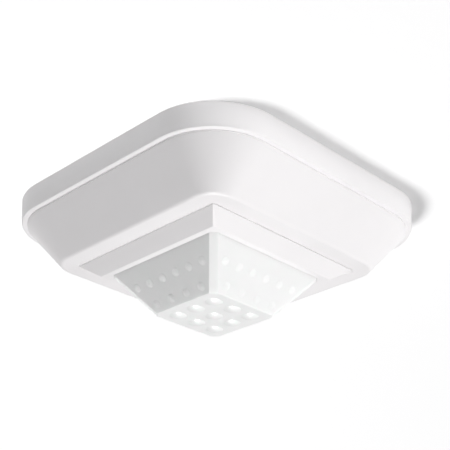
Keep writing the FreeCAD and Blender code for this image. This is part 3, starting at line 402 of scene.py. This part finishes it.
def metal(name, dark, light, smoothest):
    """Bare or plated metal with fine tool marks."""
    material, tree, shader = new_material(name)
    tarnish = noise(tree, scale=500.0, detail=5.0)
    tree.links.new(colour_between(tree, tarnish, dark, light), shader.inputs["Base Color"])
    marks = noise(tree, scale=1500.0, detail=4.0, roughness=0.6, stretch=METAL_STRETCH)
    tree.links.new(between(tree, marks, smoothest, smoothest + 2 * UNEVEN_GLOSS), shader.inputs["Roughness"])
    shader.inputs["Metallic"].default_value = 1.0
    bump(tree, shader, marks, strength=0.25, distance=METAL_RELIEF, edge_radius=METAL_EDGE)
    return material


def maths(tree, operation, *values):
    """Result of a math node; each value is a number or another node's result."""
    node = tree.nodes.new("ShaderNodeMath")
    node.operation = operation
    for socket, value in zip(node.inputs, values):
        if isinstance(value, float):
            socket.default_value = value
        else:
            tree.links.new(value, socket)
    return node.outputs["Value"]


def place_in_part(tree):
    """Distances from the middle planes, and the height, in millimetres: across X, across Y, up."""
    place = tree.nodes.new("ShaderNodeTexCoord")
    split = tree.nodes.new("ShaderNodeSeparateXYZ")
    tree.links.new(place.outputs["Object"], split.inputs["Vector"])
    across_x = maths(tree, "ABSOLUTE", maths(tree, "MULTIPLY", split.outputs["X"], 1000.0))
    across_y = maths(tree, "ABSOLUTE", maths(tree, "MULTIPLY", split.outputs["Y"], 1000.0))
    return across_x, across_y, maths(tree, "MULTIPLY", split.outputs["Z"], 1000.0)


def within(tree, value, low, high):
    """1 where a value lies between two numbers, else 0."""
    return maths(tree, "COMPARE", value, (low + high) / 2, (high - low) / 2)


def lens_painted_light(tree):
    """Painted light, from no lamp: a faint glow everywhere, painted highlights on the small side lenses and
    down the cut corners.
    """
    across_x, across_y, up = place_in_part(tree)
    along = maths(tree, "MINIMUM", across_x, across_y)
    foot = node_box("lens_bezel")[1].z
    lean = (LENS_HALF - LENS_END_HALF) / LENS_RISE
    on_corner = within(tree, maths(tree, "SUBTRACT", across_x, across_y), -LENS_CUT, LENS_CUT)
    below_end = within(tree, up, foot, foot + LENS_RISE - LENS_TOP_MARGIN)
    glow = maths(tree, "MULTIPLY_ADD", maths(tree, "MULTIPLY", on_corner, below_end), CORNER_PAINTED_HIGHLIGHT, LENS_PAINTED_GLOW)
    for count, share, brightness in LENSLET_ROWS:
        reach = LENS_HALF - share * LENS_RISE * lean - LENS_CUT
        pitch = 2 * reach / count
        # how far from the middle of the nearest lenslet, along the row and then up the slope
        aside = maths(tree, "SUBTRACT", maths(tree, "FRACT", maths(tree, "DIVIDE", along, pitch)), 0.5)
        aside = maths(tree, "MULTIPLY", aside, pitch)
        above = maths(tree, "SUBTRACT", up, foot + share * LENS_RISE)
        above = maths(tree, "MULTIPLY", above, math.hypot(1.0, lean))
        away = maths(tree, "SQRT", maths(tree, "ADD", maths(tree, "MULTIPLY", aside, aside),
                                         maths(tree, "MULTIPLY", above, above)))
        inside = maths(tree, "MULTIPLY", maths(tree, "LESS_THAN", along, reach),
                       maths(tree, "SUBTRACT", LENSLET_RADIUS, away))
        inside = maths(tree, "MINIMUM", maths(tree, "MAXIMUM", inside, 0.0), LENSLET_EDGE)
        glow = maths(tree, "MULTIPLY_ADD", inside, brightness * LENSLET_PAINTED_HIGHLIGHT / LENSLET_EDGE, glow)
    return glow


def lens_plastic():
    """Milky translucent lens: slightly green-grey body, soft cloudiness, a clear glossy skin, and painted
    light laid on as emission.
    """
    material, tree, shader = new_material("frosted_lens")
    cloud = noise(tree, scale=45.0, detail=2.0)
    tree.links.new(colour_between(tree, cloud, *LENS_WHITES), shader.inputs["Base Color"])
    gloss = noise(tree, scale=300.0, detail=3.0)
    tree.links.new(between(tree, gloss, low=0.32, high=0.40), shader.inputs["Roughness"])
    shader.inputs["Subsurface Weight"].default_value = 0.6
    shader.inputs["Subsurface Radius"].default_value = (0.9, 1.0, 0.95)
    shader.inputs["Subsurface Scale"].default_value = 0.0025
    shader.inputs["Coat Weight"].default_value = 0.25
    shader.inputs["Coat Roughness"].default_value = 0.12
    # Painted light and painted highlights as emission; no lamp inside the lens is lit.
    shader.inputs["Emission Color"].default_value = (0.98, 1.0, 0.99, 1.0)
    tree.links.new(lens_painted_light(tree), shader.inputs["Emission Strength"])
    return material


def shell_plastic_with_painted_light(name, dark, light):
    """The housing's plastic for the cover and bezel, with painted light laid over the shade of their narrow
    gaps: the sound gap round the bezel and the seam at the cover's foot.
    """
    material = moulded_plastic(name, dark, light, HOUSING_ROUGHNESS, HOUSING_DEPTH_SHARE)
    tree = material.node_tree
    shader = tree.nodes["Principled BSDF"]
    across_x, across_y, up = place_in_part(tree)
    foot = node_box("front_cover")[0].z + COVER_HOOK_DROP
    face = node_box("front_cover")[1].z
    # Painted light over the shade in the sound gap round the bezel and in the seam at the cover's foot.
    round_bezel = within(tree, maths(tree, "MAXIMUM", across_x, across_y),
                         SOUND_GAP_MIDDLE - SOUND_GAP_REACH, SOUND_GAP_MIDDLE + SOUND_GAP_REACH)
    below_face = within(tree, up, face - SOUND_GAP_DEPTH, face - SOUND_GAP_TOP_MARGIN)
    in_gap = maths(tree, "MULTIPLY", round_bezel, below_face)
    at_foot = within(tree, up, foot - FOOT_STRIP_MARGIN, foot + FOOT_STRIP)
    glow = maths(tree, "ADD", maths(tree, "MULTIPLY", in_gap, GAP_PAINTED_LIGHT),
                 maths(tree, "MULTIPLY", at_foot, FOOT_PAINTED_LIGHT))
    shader.inputs["Emission Color"].default_value = (1.0, 0.99, 0.995, 1.0)
    tree.links.new(glow, shader.inputs["Emission Strength"])
    return material


def board_mask(name, dark, light):
    """Solder mask over copper: lighter, slightly raised patches with straight edges and dark gaps."""
    material, tree, shader = new_material(name)
    place = tree.nodes.new("ShaderNodeTexCoord")
    patches = tree.nodes.new("ShaderNodeTexVoronoi")
    patches.distance = "MANHATTAN"
    patches.feature = "F1"
    patches.inputs["Scale"].default_value = BOARD_PATCHES
    tree.links.new(place.outputs["Object"], patches.inputs["Vector"])
    ramp = tree.nodes.new("ShaderNodeValToRGB")
    ramp.color_ramp.interpolation = "LINEAR"
    ramp.color_ramp.elements[0].position = BOARD_PATCH_EDGES[0]
    ramp.color_ramp.elements[0].color = (*light, 1.0)
    ramp.color_ramp.elements[1].position = BOARD_PATCH_EDGES[1]
    ramp.color_ramp.elements[1].color = (*dark, 1.0)
    tree.links.new(patches.outputs["Distance"], ramp.inputs["Fac"])
    tree.links.new(ramp.outputs["Color"], shader.inputs["Base Color"])
    tree.links.new(between(tree, noise(tree, scale=300.0), low=0.32, high=0.42), shader.inputs["Roughness"])
    shader.inputs["Coat Weight"].default_value = 0.3
    shader.inputs["Coat Roughness"].default_value = 0.15
    bump(tree, shader, ramp.outputs["Color"], strength=0.3, distance=SOFT_RELIEF)
    return material


def rubber(name, dark, light):
    """Matt rubber with a soft, slightly uneven skin."""
    material, tree, shader = new_material(name)
    bloom = noise(tree, scale=120.0, detail=4.0)
    tree.links.new(colour_between(tree, bloom, dark, light), shader.inputs["Base Color"])
    tree.links.new(between(tree, noise(tree, scale=900.0), low=0.62, high=0.8), shader.inputs["Roughness"])
    skin = noise(tree, scale=3500.0, detail=3.0)
    bump(tree, shader, skin, strength=0.5, distance=SOFT_RELIEF, edge_radius=RUBBER_EDGE)
    return material


def ceramic():
    """Silvered piezo disc: matt metal film with a fine fired grain."""
    material, tree, shader = new_material("ceramic")
    speckle = noise(tree, scale=2500.0, detail=4.0)
    tree.links.new(colour_between(tree, speckle, *CERAMIC_GREYS), shader.inputs["Base Color"])
    shader.inputs["Metallic"].default_value = 0.6
    tree.links.new(between(tree, noise(tree, scale=900.0), low=0.42, high=0.6), shader.inputs["Roughness"])
    grain = noise(tree, scale=6000.0, detail=2.0)
    bump(tree, shader, grain, strength=0.4, distance=METAL_RELIEF)
    return material


def clear_lamp(name, dark, light):
    """Tinted clear resin of a lamp's body."""
    material, tree, shader = new_material(name)
    tree.links.new(colour_between(tree, noise(tree, scale=600.0), dark, light), shader.inputs["Base Color"])
    tree.links.new(between(tree, noise(tree, scale=800.0), low=0.08, high=0.16), shader.inputs["Roughness"])
    shader.inputs["Transmission Weight"].default_value = 0.35
    shader.inputs["Coat Weight"].default_value = 0.5
    return material


def make_materials():
    """One material for each slot of the model, put on its pieces."""
    made = {slot: moulded_plastic(slot, *look) for slot, look in PLASTICS.items()}
    for maker, looks in ((metal, METALS), (rubber, RUBBERS), (clear_lamp, LAMP_RESINS), (board_mask, BOARDS)):
        made.update({slot: maker(slot, *look) for slot, look in looks.items()})
    made["frosted_lens"] = lens_plastic()
    made["ceramic"] = ceramic()
    for row in frame["record"]["subparts"]:
        obj = nodes[row["node"]]
        obj.data.materials.clear()
        obj.data.materials.append(made[row["material_slot"]])
    # The cover and bezel get the housing plastic with painted light over the shade of their gaps.
    shell = shell_plastic_with_painted_light("white_plastic_painted_light", *HOUSING_WHITES)
    for node in ("front_cover", "lens_bezel"):
        nodes[node].data.materials[0] = shell
    return made


# ---- Fine detail inside, worked out in millimetres ----------------------------------------------------
SHARP_ANGLE = 35.0                        # degrees; flatter edges are shaded smooth
BEVEL_STEPS = 2
BEVEL_PROFILE = 0.5
FULL_TURN_MARGIN = 0.001                  # radians
TURN_STEPS = 48                           # in a full turn of a turned shape
HELIX_STEPS = 32                          # in one turn of a wire
WIRE_SIDES = 8

SPRING_WIRE_RADIUS = 0.18
SPRING_TURNS = 4
WINDING_WIRE_RADIUS = 0.13
WINDING_RADIUS = 3.2                      # of the bobbin's core, as in the model
WINDING_CHEEK = 1.6
WINDING_SINK = 0.3                        # from the top of the cheeks to the core

CAPACITOR_RIM = 0.8
CAPACITOR_HOLE_RADIUS = 0.35
CAPACITOR_TOP_SINK = 0.05
CAPACITOR_TOP_EDGE = 0.08                 # where the top's bevel starts
CAPACITOR_TOP_HEIGHT = 0.14
CAPACITOR_TOP_BEVEL = 0.1
CAPACITOR_VENT_GAP = 0.18
CAPACITOR_VENTS = 3

CHIP_SIZE = (2.0, 1.25, 0.55)             # length, width and height of the smallest parts on the board
CHIP_END = 0.4                            # length of a tinned end
CHIP_END_STEP = 0.02                      # how far an end stands out of the body at each side
CHIP_END_CUT = 0.07
CHIP_BODY_LIFT = 0.01                     # of the body above the board
CHIP_BODY_DROP = 0.05                     # of the body's top below the ends' tops
CHIP_BODY_CUT = 0.04
PAD_REACH = 0.7                           # of the solder past the chip's end
PAD_MARGIN = 0.2                          # of the solder past the chip's sides
PAD_HEIGHT = 0.05
PAD_CUT = 0.02

SCREW_HEAD_RADIUS = 2.5
RING_WIDTH = 0.7
RING_TUCK = 0.3                           # under the screw's head
RING_HEIGHT = 0.05                        # and how wide its bevel is
PIN_PITCH = 2.54
# How far out from the pin's side, and how high.
SOLDER_SECTION = ((-0.05, 0.0), (0.55, 0.0), (0.3, 0.15), (0.08, 0.6), (-0.05, 0.65))
TERMINAL_PITCH = 5.0
TERMINAL_MOUTH = 3.2
TERMINAL_SILL = 1.2
CAGE_GAP = 0.03
CAGE_WALL = 0.35
CAGE_SETBACK = 0.6
CAGE_DEPTH = 1.7

TRACK_WIDTH = 0.45
TRACK_HEIGHT = 0.04
TRACK_BEND = 1.0                          # length of a track's slanted corner along each way
LANE_PITCH = 1.1
LANE_START = 5.6                          # from the terminals to the first lane
LANE_TURN = 2.2                           # past the sounder
CHIP_TRACK_GAP = 1.8                      # from a track's end to the controller chip
SWITCH_TRACK_GAP = 1.2                    # from a track's end to the mode switch
BUS_TRACKS = 4
BUS_PITCH = 1.0
BUS_START = 2.0                           # from the mode switch
BUS_BELOW = 3.2                           # from the sounder's near side to the first track
BUS_BESIDE = 1.5                          # from the sounder's right side to the first track
BUS_END = 1.5                             # past the sounder's far side
EDGE_TRACK_INSET = 1.3
EDGE_TRACK_CORNER = 8.0
PRINT_WIDTH = 0.25
PRINT_HEIGHT = 0.03
PRINT_MARGIN = 0.7
TERMINAL_PRINT_INSET = 2.0                # the outline is open towards the board's edge
OUTLINED = ("boost_transformer", "smoothing_capacitors", "controller_chip", "mode_switch_body", "tamper_body",
            "trimmer_body", "terminal_block")


def finished(mesh_maker, name, slot_name, body="base"):
    """Turns a mesh in millimetres into a piece that rides on a body."""
    bmesh.ops.scale(mesh_maker, vec=(0.001, 0.001, 0.001), verts=mesh_maker.verts)
    bmesh.ops.recalc_face_normals(mesh_maker, faces=mesh_maker.faces)
    mesh = bpy.data.meshes.new(name)
    mesh_maker.to_mesh(mesh)
    mesh_maker.free()
    mesh.shade_smooth()
    mesh.set_sharp_from_angle(angle=math.radians(SHARP_ANGLE))
    mesh.materials.append(materials[slot_name])
    piece = bpy.data.objects.new(name, mesh)
    bpy.context.scene.collection.objects.link(piece)
    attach(piece, body)
    return piece


def add_block(maker, centre, size, cut):
    """Box with softened edges."""
    place = Matrix.Translation(centre) @ Matrix.Diagonal((*size, 1.0))
    corners = bmesh.ops.create_cube(maker, size=1.0, matrix=place)["verts"]
    edges = list(dict.fromkeys(edge for corner in corners for edge in corner.link_edges))
    bmesh.ops.bevel(maker, geom=edges, offset=cut, segments=BEVEL_STEPS, profile=BEVEL_PROFILE,
                    affect="EDGES")


def add_turned(maker, centre, section, first=0.0, last=2 * math.pi):
    """Closed section of (radius, height) points turned about +Z, with flat ends if it isn't a full turn."""
    full = last - first > 2 * math.pi - FULL_TURN_MARGIN
    steps = max(3, round((last - first) / (2 * math.pi) * TURN_STEPS))
    rings = []
    for number in range(steps if full else steps + 1):
        angle = first + (last - first) * number / steps
        outward = Vector((math.cos(angle), math.sin(angle), 0.0))
        rings.append([maker.verts.new(centre + outward * radius + Vector((0.0, 0.0, height)))
                      for radius, height in section])
    size = len(section)
    for number in range(steps):
        here = rings[number]
        there = rings[(number + 1) % len(rings)]
        for k in range(size):
            maker.faces.new((here[k], there[k], there[(k + 1) % size], here[(k + 1) % size]))
    if not full:
        maker.faces.new(rings[0])
        maker.faces.new(list(reversed(rings[-1])))


def add_strip(maker, points, width, low, height):
    """Flat strip along a path of level points, mitred where it turns; closed if it ends where it starts."""
    closed = points[0] == points[-1]
    path = [Vector(point) for point in (points[:-1] if closed else points)]
    count = len(path)
    rows = []
    for k in range(count):
        before = path[k] - path[k - 1] if closed or k > 0 else path[k + 1] - path[k]
        after = path[(k + 1) % count] - path[k] if closed or k < count - 1 else before
        side_before = Vector((-before.y, before.x)).normalized()
        side_after = Vector((-after.y, after.x)).normalized()
        mitre = (side_before + side_after) / (1.0 + side_before.dot(side_after))
        edges = [path[k] + mitre * width / 2, path[k] - mitre * width / 2]
        rows.append([maker.verts.new((*edge, level)) for level in (low, low + height) for edge in edges])
    for k in range(count if closed else count - 1):
        here = rows[k]
        there = rows[(k + 1) % count]
        for one, other in ((0, 1), (1, 3), (3, 2), (2, 0)):
            maker.faces.new((here[one], here[other], there[other], there[one]))
    if not closed:
        for row in (rows[0], rows[-1]):
            maker.faces.new((row[0], row[1], row[3], row[2]))


def add_helix(maker, start, axis, radius, wire_radius, rounds, length):
    """Round wire wound about an axis through a start point, over a length."""
    first = Vector((axis.y, axis.z, axis.x))
    second = axis.cross(first)
    rings = []
    count = rounds * HELIX_STEPS
    for number in range(count + 1):
        angle = 2 * math.pi * number / HELIX_STEPS
        outward = first * math.cos(angle) + second * math.sin(angle)
        middle = start + axis * (length * number / count) + outward * radius
        ring = []
        for turn in turns(WIRE_SIDES):
            towards = outward * math.cos(turn) + axis * math.sin(turn)
            ring.append(maker.verts.new(middle + towards * wire_radius))
        rings.append(ring)
    for here, there in zip(rings, rings[1:]):
        for k in range(WIRE_SIDES):
            maker.faces.new((here[k], there[k], there[(k + 1) % WIRE_SIDES], here[(k + 1) % WIRE_SIDES]))
    maker.faces.new(rings[0])
    maker.faces.new(list(reversed(rings[-1])))


def make_winding():
    """Enamelled wire wound in one layer between the transformer's cheeks."""
    low, high = node_box("boost_transformer")
    length = high.x - low.x - 2 * WINDING_CHEEK
    rounds = int(length / (2 * WINDING_WIRE_RADIUS)) - 1
    start = Vector((low.x + WINDING_CHEEK + WINDING_WIRE_RADIUS, (low.y + high.y) / 2,
                    high.z - WINDING_SINK - WINDING_RADIUS))
    maker = bmesh.new()
    add_helix(maker, start, Vector((1.0, 0.0, 0.0)), WINDING_RADIUS + WINDING_WIRE_RADIUS,
              WINDING_WIRE_RADIUS, rounds, length - 2 * WINDING_WIRE_RADIUS)
    finished(maker, "winding_turns", "brass")


def make_spring():
    """Coil under the tamper plunger, drawn at one length; the real one shortens as the plunger is pressed."""
    low, high = node_box("tamper_spring")
    start = Vector(((low.x + high.x) / 2, (low.y + high.y) / 2, low.z + SPRING_WIRE_RADIUS))
    maker = bmesh.new()
    add_helix(maker, start, Vector((0.0, 0.0, 1.0)), (high.y - low.y) / 2 - SPRING_WIRE_RADIUS,
              SPRING_WIRE_RADIUS, SPRING_TURNS, high.z - low.z - 2 * SPRING_WIRE_RADIUS)
    spring = finished(maker, "spring_coil", "spring_steel")
    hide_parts("tamper_spring")
    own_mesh(spring)


def make_capacitor_tops():
    """Bare metal tops, scored in three so that they can open under pressure."""
    low, high = node_box("smoothing_capacitors")
    radius = (high.y - low.y) / 2
    maker = bmesh.new()
    for x in (low.x + radius, high.x - radius):
        centre = Vector((x, (low.y + high.y) / 2, high.z))
        reach = radius - CAPACITOR_RIM
        section = ((CAPACITOR_HOLE_RADIUS, -CAPACITOR_TOP_SINK), (reach, -CAPACITOR_TOP_SINK),
                   (reach, CAPACITOR_TOP_EDGE), (reach - CAPACITOR_TOP_BEVEL, CAPACITOR_TOP_HEIGHT),
                   (CAPACITOR_HOLE_RADIUS, CAPACITOR_TOP_HEIGHT))
        for number in range(CAPACITOR_VENTS):
            start = 2 * math.pi * number / CAPACITOR_VENTS + CAPACITOR_VENT_GAP / reach
            end = 2 * math.pi * (number + 1) / CAPACITOR_VENTS - CAPACITOR_VENT_GAP / reach
            add_turned(maker, centre, section, start, end)
    finished(maker, "capacitor_tops", "zinc_steel")


def chip_row(x, y, count, step_x=0.0, step_y=0.0, along_y=False):
    """Places of evenly spaced chips, from a first one on."""
    return [(x + step_x * number, y + step_y * number, along_y) for number in range(count)]


def chip_places():
    """(x, y, whether it lies along Y) of the smallest parts, beside the larger ones that they serve."""
    chip_low, chip_high = node_box("controller_chip")
    switch_low = node_box("mode_switch_body")[0]
    terminal_high = node_box("terminal_block")[1]
    board_high = node_box("circuit_board")[1]
    lamp_low, lamp_high = node_box("status_lamp")
    above_chip = chip_row(chip_low.x, chip_high.y + 2.8, count=4, step_x=3.4)
    beside_chip = chip_row(chip_low.x - 5.5, chip_low.y, count=3, step_y=2.6)
    below_switch = chip_row(switch_low.x + 1.6, switch_low.y - 2.7, count=3, step_x=4.0)
    beside_terminals = chip_row(terminal_high.x + 3.2, -8.0, count=3, step_y=8.0, along_y=True)
    at_edge = chip_row(board_high.x - 2.2, -10.0, count=3, step_y=10.0, along_y=True)
    below_lamp = chip_row((lamp_low.x + lamp_high.x) / 2, lamp_low.y - 2.0, count=1)
    return above_chip + beside_chip + below_switch + beside_terminals + at_edge + below_lamp


def make_chips():
    """Chip resistors and capacitors with tinned ends."""
    top = node_box("circuit_board")[1].z
    length, width, height = CHIP_SIZE
    bodies = bmesh.new()
    ends = bmesh.new()
    up = Vector((0.0, 0.0, 1.0))
    for x, y, along_y in chip_places():
        axis = Vector((0.0, 1.0, 0.0)) if along_y else Vector((1.0, 0.0, 0.0))
        cross = Vector((axis.y, axis.x, 0.0))
        middle = Vector((x, y, top))
        place = middle + up * (CHIP_BODY_LIFT + height - CHIP_BODY_DROP) / 2
        thickness = height - CHIP_BODY_LIFT - CHIP_BODY_DROP
        size = axis * (length - 2 * CHIP_END) + cross * width + up * thickness
        add_block(bodies, place, size, CHIP_BODY_CUT)
        for side in (-1, 1):
            place = middle + axis * side * (length - CHIP_END) / 2 + up * height / 2
            size = axis * CHIP_END + cross * (width + 2 * CHIP_END_STEP) + up * height
            add_block(ends, place, size, CHIP_END_CUT)
            place = middle + axis * side * (length - CHIP_END + PAD_REACH) / 2 + up * PAD_HEIGHT / 2
            size = axis * (CHIP_END + PAD_REACH) + cross * (width + 2 * PAD_MARGIN) + up * PAD_HEIGHT
            add_block(ends, place, size, PAD_CUT)
    finished(bodies, "chip_bodies", "black_plastic")
    finished(ends, "chip_ends", "zinc_steel")


def make_rings():
    """Tinned rings under the board screws."""
    low, high = node_box("board_screws")
    top = node_box("circuit_board")[1].z
    inner = SCREW_HEAD_RADIUS - RING_TUCK
    outer = SCREW_HEAD_RADIUS + RING_WIDTH
    section = ((inner, 0.0), (outer, 0.0), (outer - RING_HEIGHT, RING_HEIGHT), (inner, RING_HEIGHT))
    maker = bmesh.new()
    for x in (low.x + SCREW_HEAD_RADIUS, high.x - SCREW_HEAD_RADIUS):
        for y in (low.y + SCREW_HEAD_RADIUS, high.y - SCREW_HEAD_RADIUS):
            add_turned(maker, Vector((x, y, top)), section)
    finished(maker, "tinned_rings", "zinc_steel")


def make_solder():
    """Solder cones where the link pins come through the lamp board."""
    low, high = node_box("link_pins")
    top = node_box("lamp_board")[1].z
    radius = (high.x - low.x) / 2
    section = [(radius + out, height) for out, height in SOLDER_SECTION]
    maker = bmesh.new()
    count = round((high.y - low.y - 2 * radius) / PIN_PITCH) + 1
    for number in range(count):
        add_turned(maker, Vector((low.x + radius, low.y + radius + PIN_PITCH * number, top)), section)
    finished(maker, "pin_solder", "zinc_steel")


def make_cages():
    """Brass cages in the wire mouths, which the terminal screws close."""
    low, high = node_box("terminal_block")
    count = round((high.y - low.y) / TERMINAL_PITCH)
    half = TERMINAL_MOUTH / 2 - CAGE_GAP
    start = low.x + CAGE_SETBACK
    maker = bmesh.new()
    for number in range(count):
        y = low.y + TERMINAL_PITCH * (number + 0.5)
        z = low.z + TERMINAL_SILL + TERMINAL_MOUTH / 2
        rows = []
        for reach in (half, half - CAGE_WALL):
            for x in (start, start + CAGE_DEPTH):
                rows.append([maker.verts.new((x, y + reach * side, z + reach * level))
                             for side, level in ((-1, -1), (1, -1), (1, 1), (-1, 1))])
        outer_start, outer_end, inner_start, inner_end = rows
        for one, other in ((outer_start, outer_end), (outer_end, inner_end), (inner_end, inner_start),
                           (inner_start, outer_start)):
            for k in range(4):
                maker.faces.new((one[k], one[(k + 1) % 4], other[(k + 1) % 4], other[k]))
    finished(maker, "terminal_cages", "brass")


def make_tracks():
    """Copper tracks under the solder mask, from the terminals to the parts at both ends of the board."""
    top = node_box("circuit_board")[1].z
    terminal_low, terminal_high = node_box("terminal_block")
    sounder_low, sounder_high = node_box("sounder_case")
    chip_low = node_box("controller_chip")[0]
    switch_low, switch_high = node_box("mode_switch_body")
    board_low, board_high = node_box("circuit_board")
    maker = bmesh.new()
    ways = round((terminal_high.y - terminal_low.y) / TERMINAL_PITCH)
    for number in range(ways):
        y = terminal_low.y + TERMINAL_PITCH * (number + 0.5)
        side = 1 if y > 0 else -1
        bend = side * TRACK_BEND
        rank = min(number, ways - 1 - number)
        lane = terminal_high.x + LANE_START + LANE_PITCH * rank
        turn = side * (-sounder_low.y + LANE_TURN + LANE_PITCH * rank)
        end = chip_low.x - CHIP_TRACK_GAP if side > 0 else switch_low.x - SWITCH_TRACK_GAP
        path = [(terminal_high.x, y), (lane - TRACK_BEND, y), (lane, y + bend), (lane, turn - bend),
                (lane + TRACK_BEND, turn), (end, turn)]
        add_strip(maker, path, TRACK_WIDTH, top, TRACK_HEIGHT)
    for number in range(BUS_TRACKS):
        x = sounder_high.x + BUS_BESIDE + BUS_PITCH * number
        y = sounder_low.y - BUS_BELOW - BUS_PITCH * number
        path = [(switch_high.x + BUS_START, y), (x - TRACK_BEND, y), (x, y + TRACK_BEND),
                (x, sounder_high.y + BUS_END)]
        add_strip(maker, path, TRACK_WIDTH, top, TRACK_HEIGHT)
    left = board_low.x + EDGE_TRACK_INSET
    right = board_high.x - EDGE_TRACK_INSET
    for edge, inward in ((board_low.y + EDGE_TRACK_INSET, 1), (board_high.y - EDGE_TRACK_INSET, -1)):
        path = [(left, edge + inward * EDGE_TRACK_CORNER), (left + EDGE_TRACK_CORNER, edge),
                (right - EDGE_TRACK_CORNER, edge)]
        add_strip(maker, path, 2 * TRACK_WIDTH, top, TRACK_HEIGHT)
    finished(maker, "board_tracks", "green_board")


def make_print():
    """Printed outlines round the larger parts on the board."""
    top = node_box("circuit_board")[1].z
    maker = bmesh.new()
    for node in OUTLINED:
        low, high = node_box(node)
        left = low.x - PRINT_MARGIN
        right = high.x + PRINT_MARGIN
        near = low.y - PRINT_MARGIN
        far = high.y + PRINT_MARGIN
        outline = [(left, near), (right, near), (right, far), (left, far), (left, near)]
        if node == "terminal_block":
            left = low.x + TERMINAL_PRINT_INSET
            outline = [(left, near), (right, near), (right, far), (left, far)]
        add_strip(maker, outline, PRINT_WIDTH, top + TRACK_HEIGHT, PRINT_HEIGHT)
    finished(maker, "board_print", "white_board")


# ---- The scene ---------------------------------------------------------------------------------------
make_camera()
make_light(make_floor())
make_backdrop()
materials = make_materials()
make_winding()
make_spring()
make_capacitor_tops()
make_chips()
make_rings()
make_solder()
make_cages()
make_tracks()
make_print()
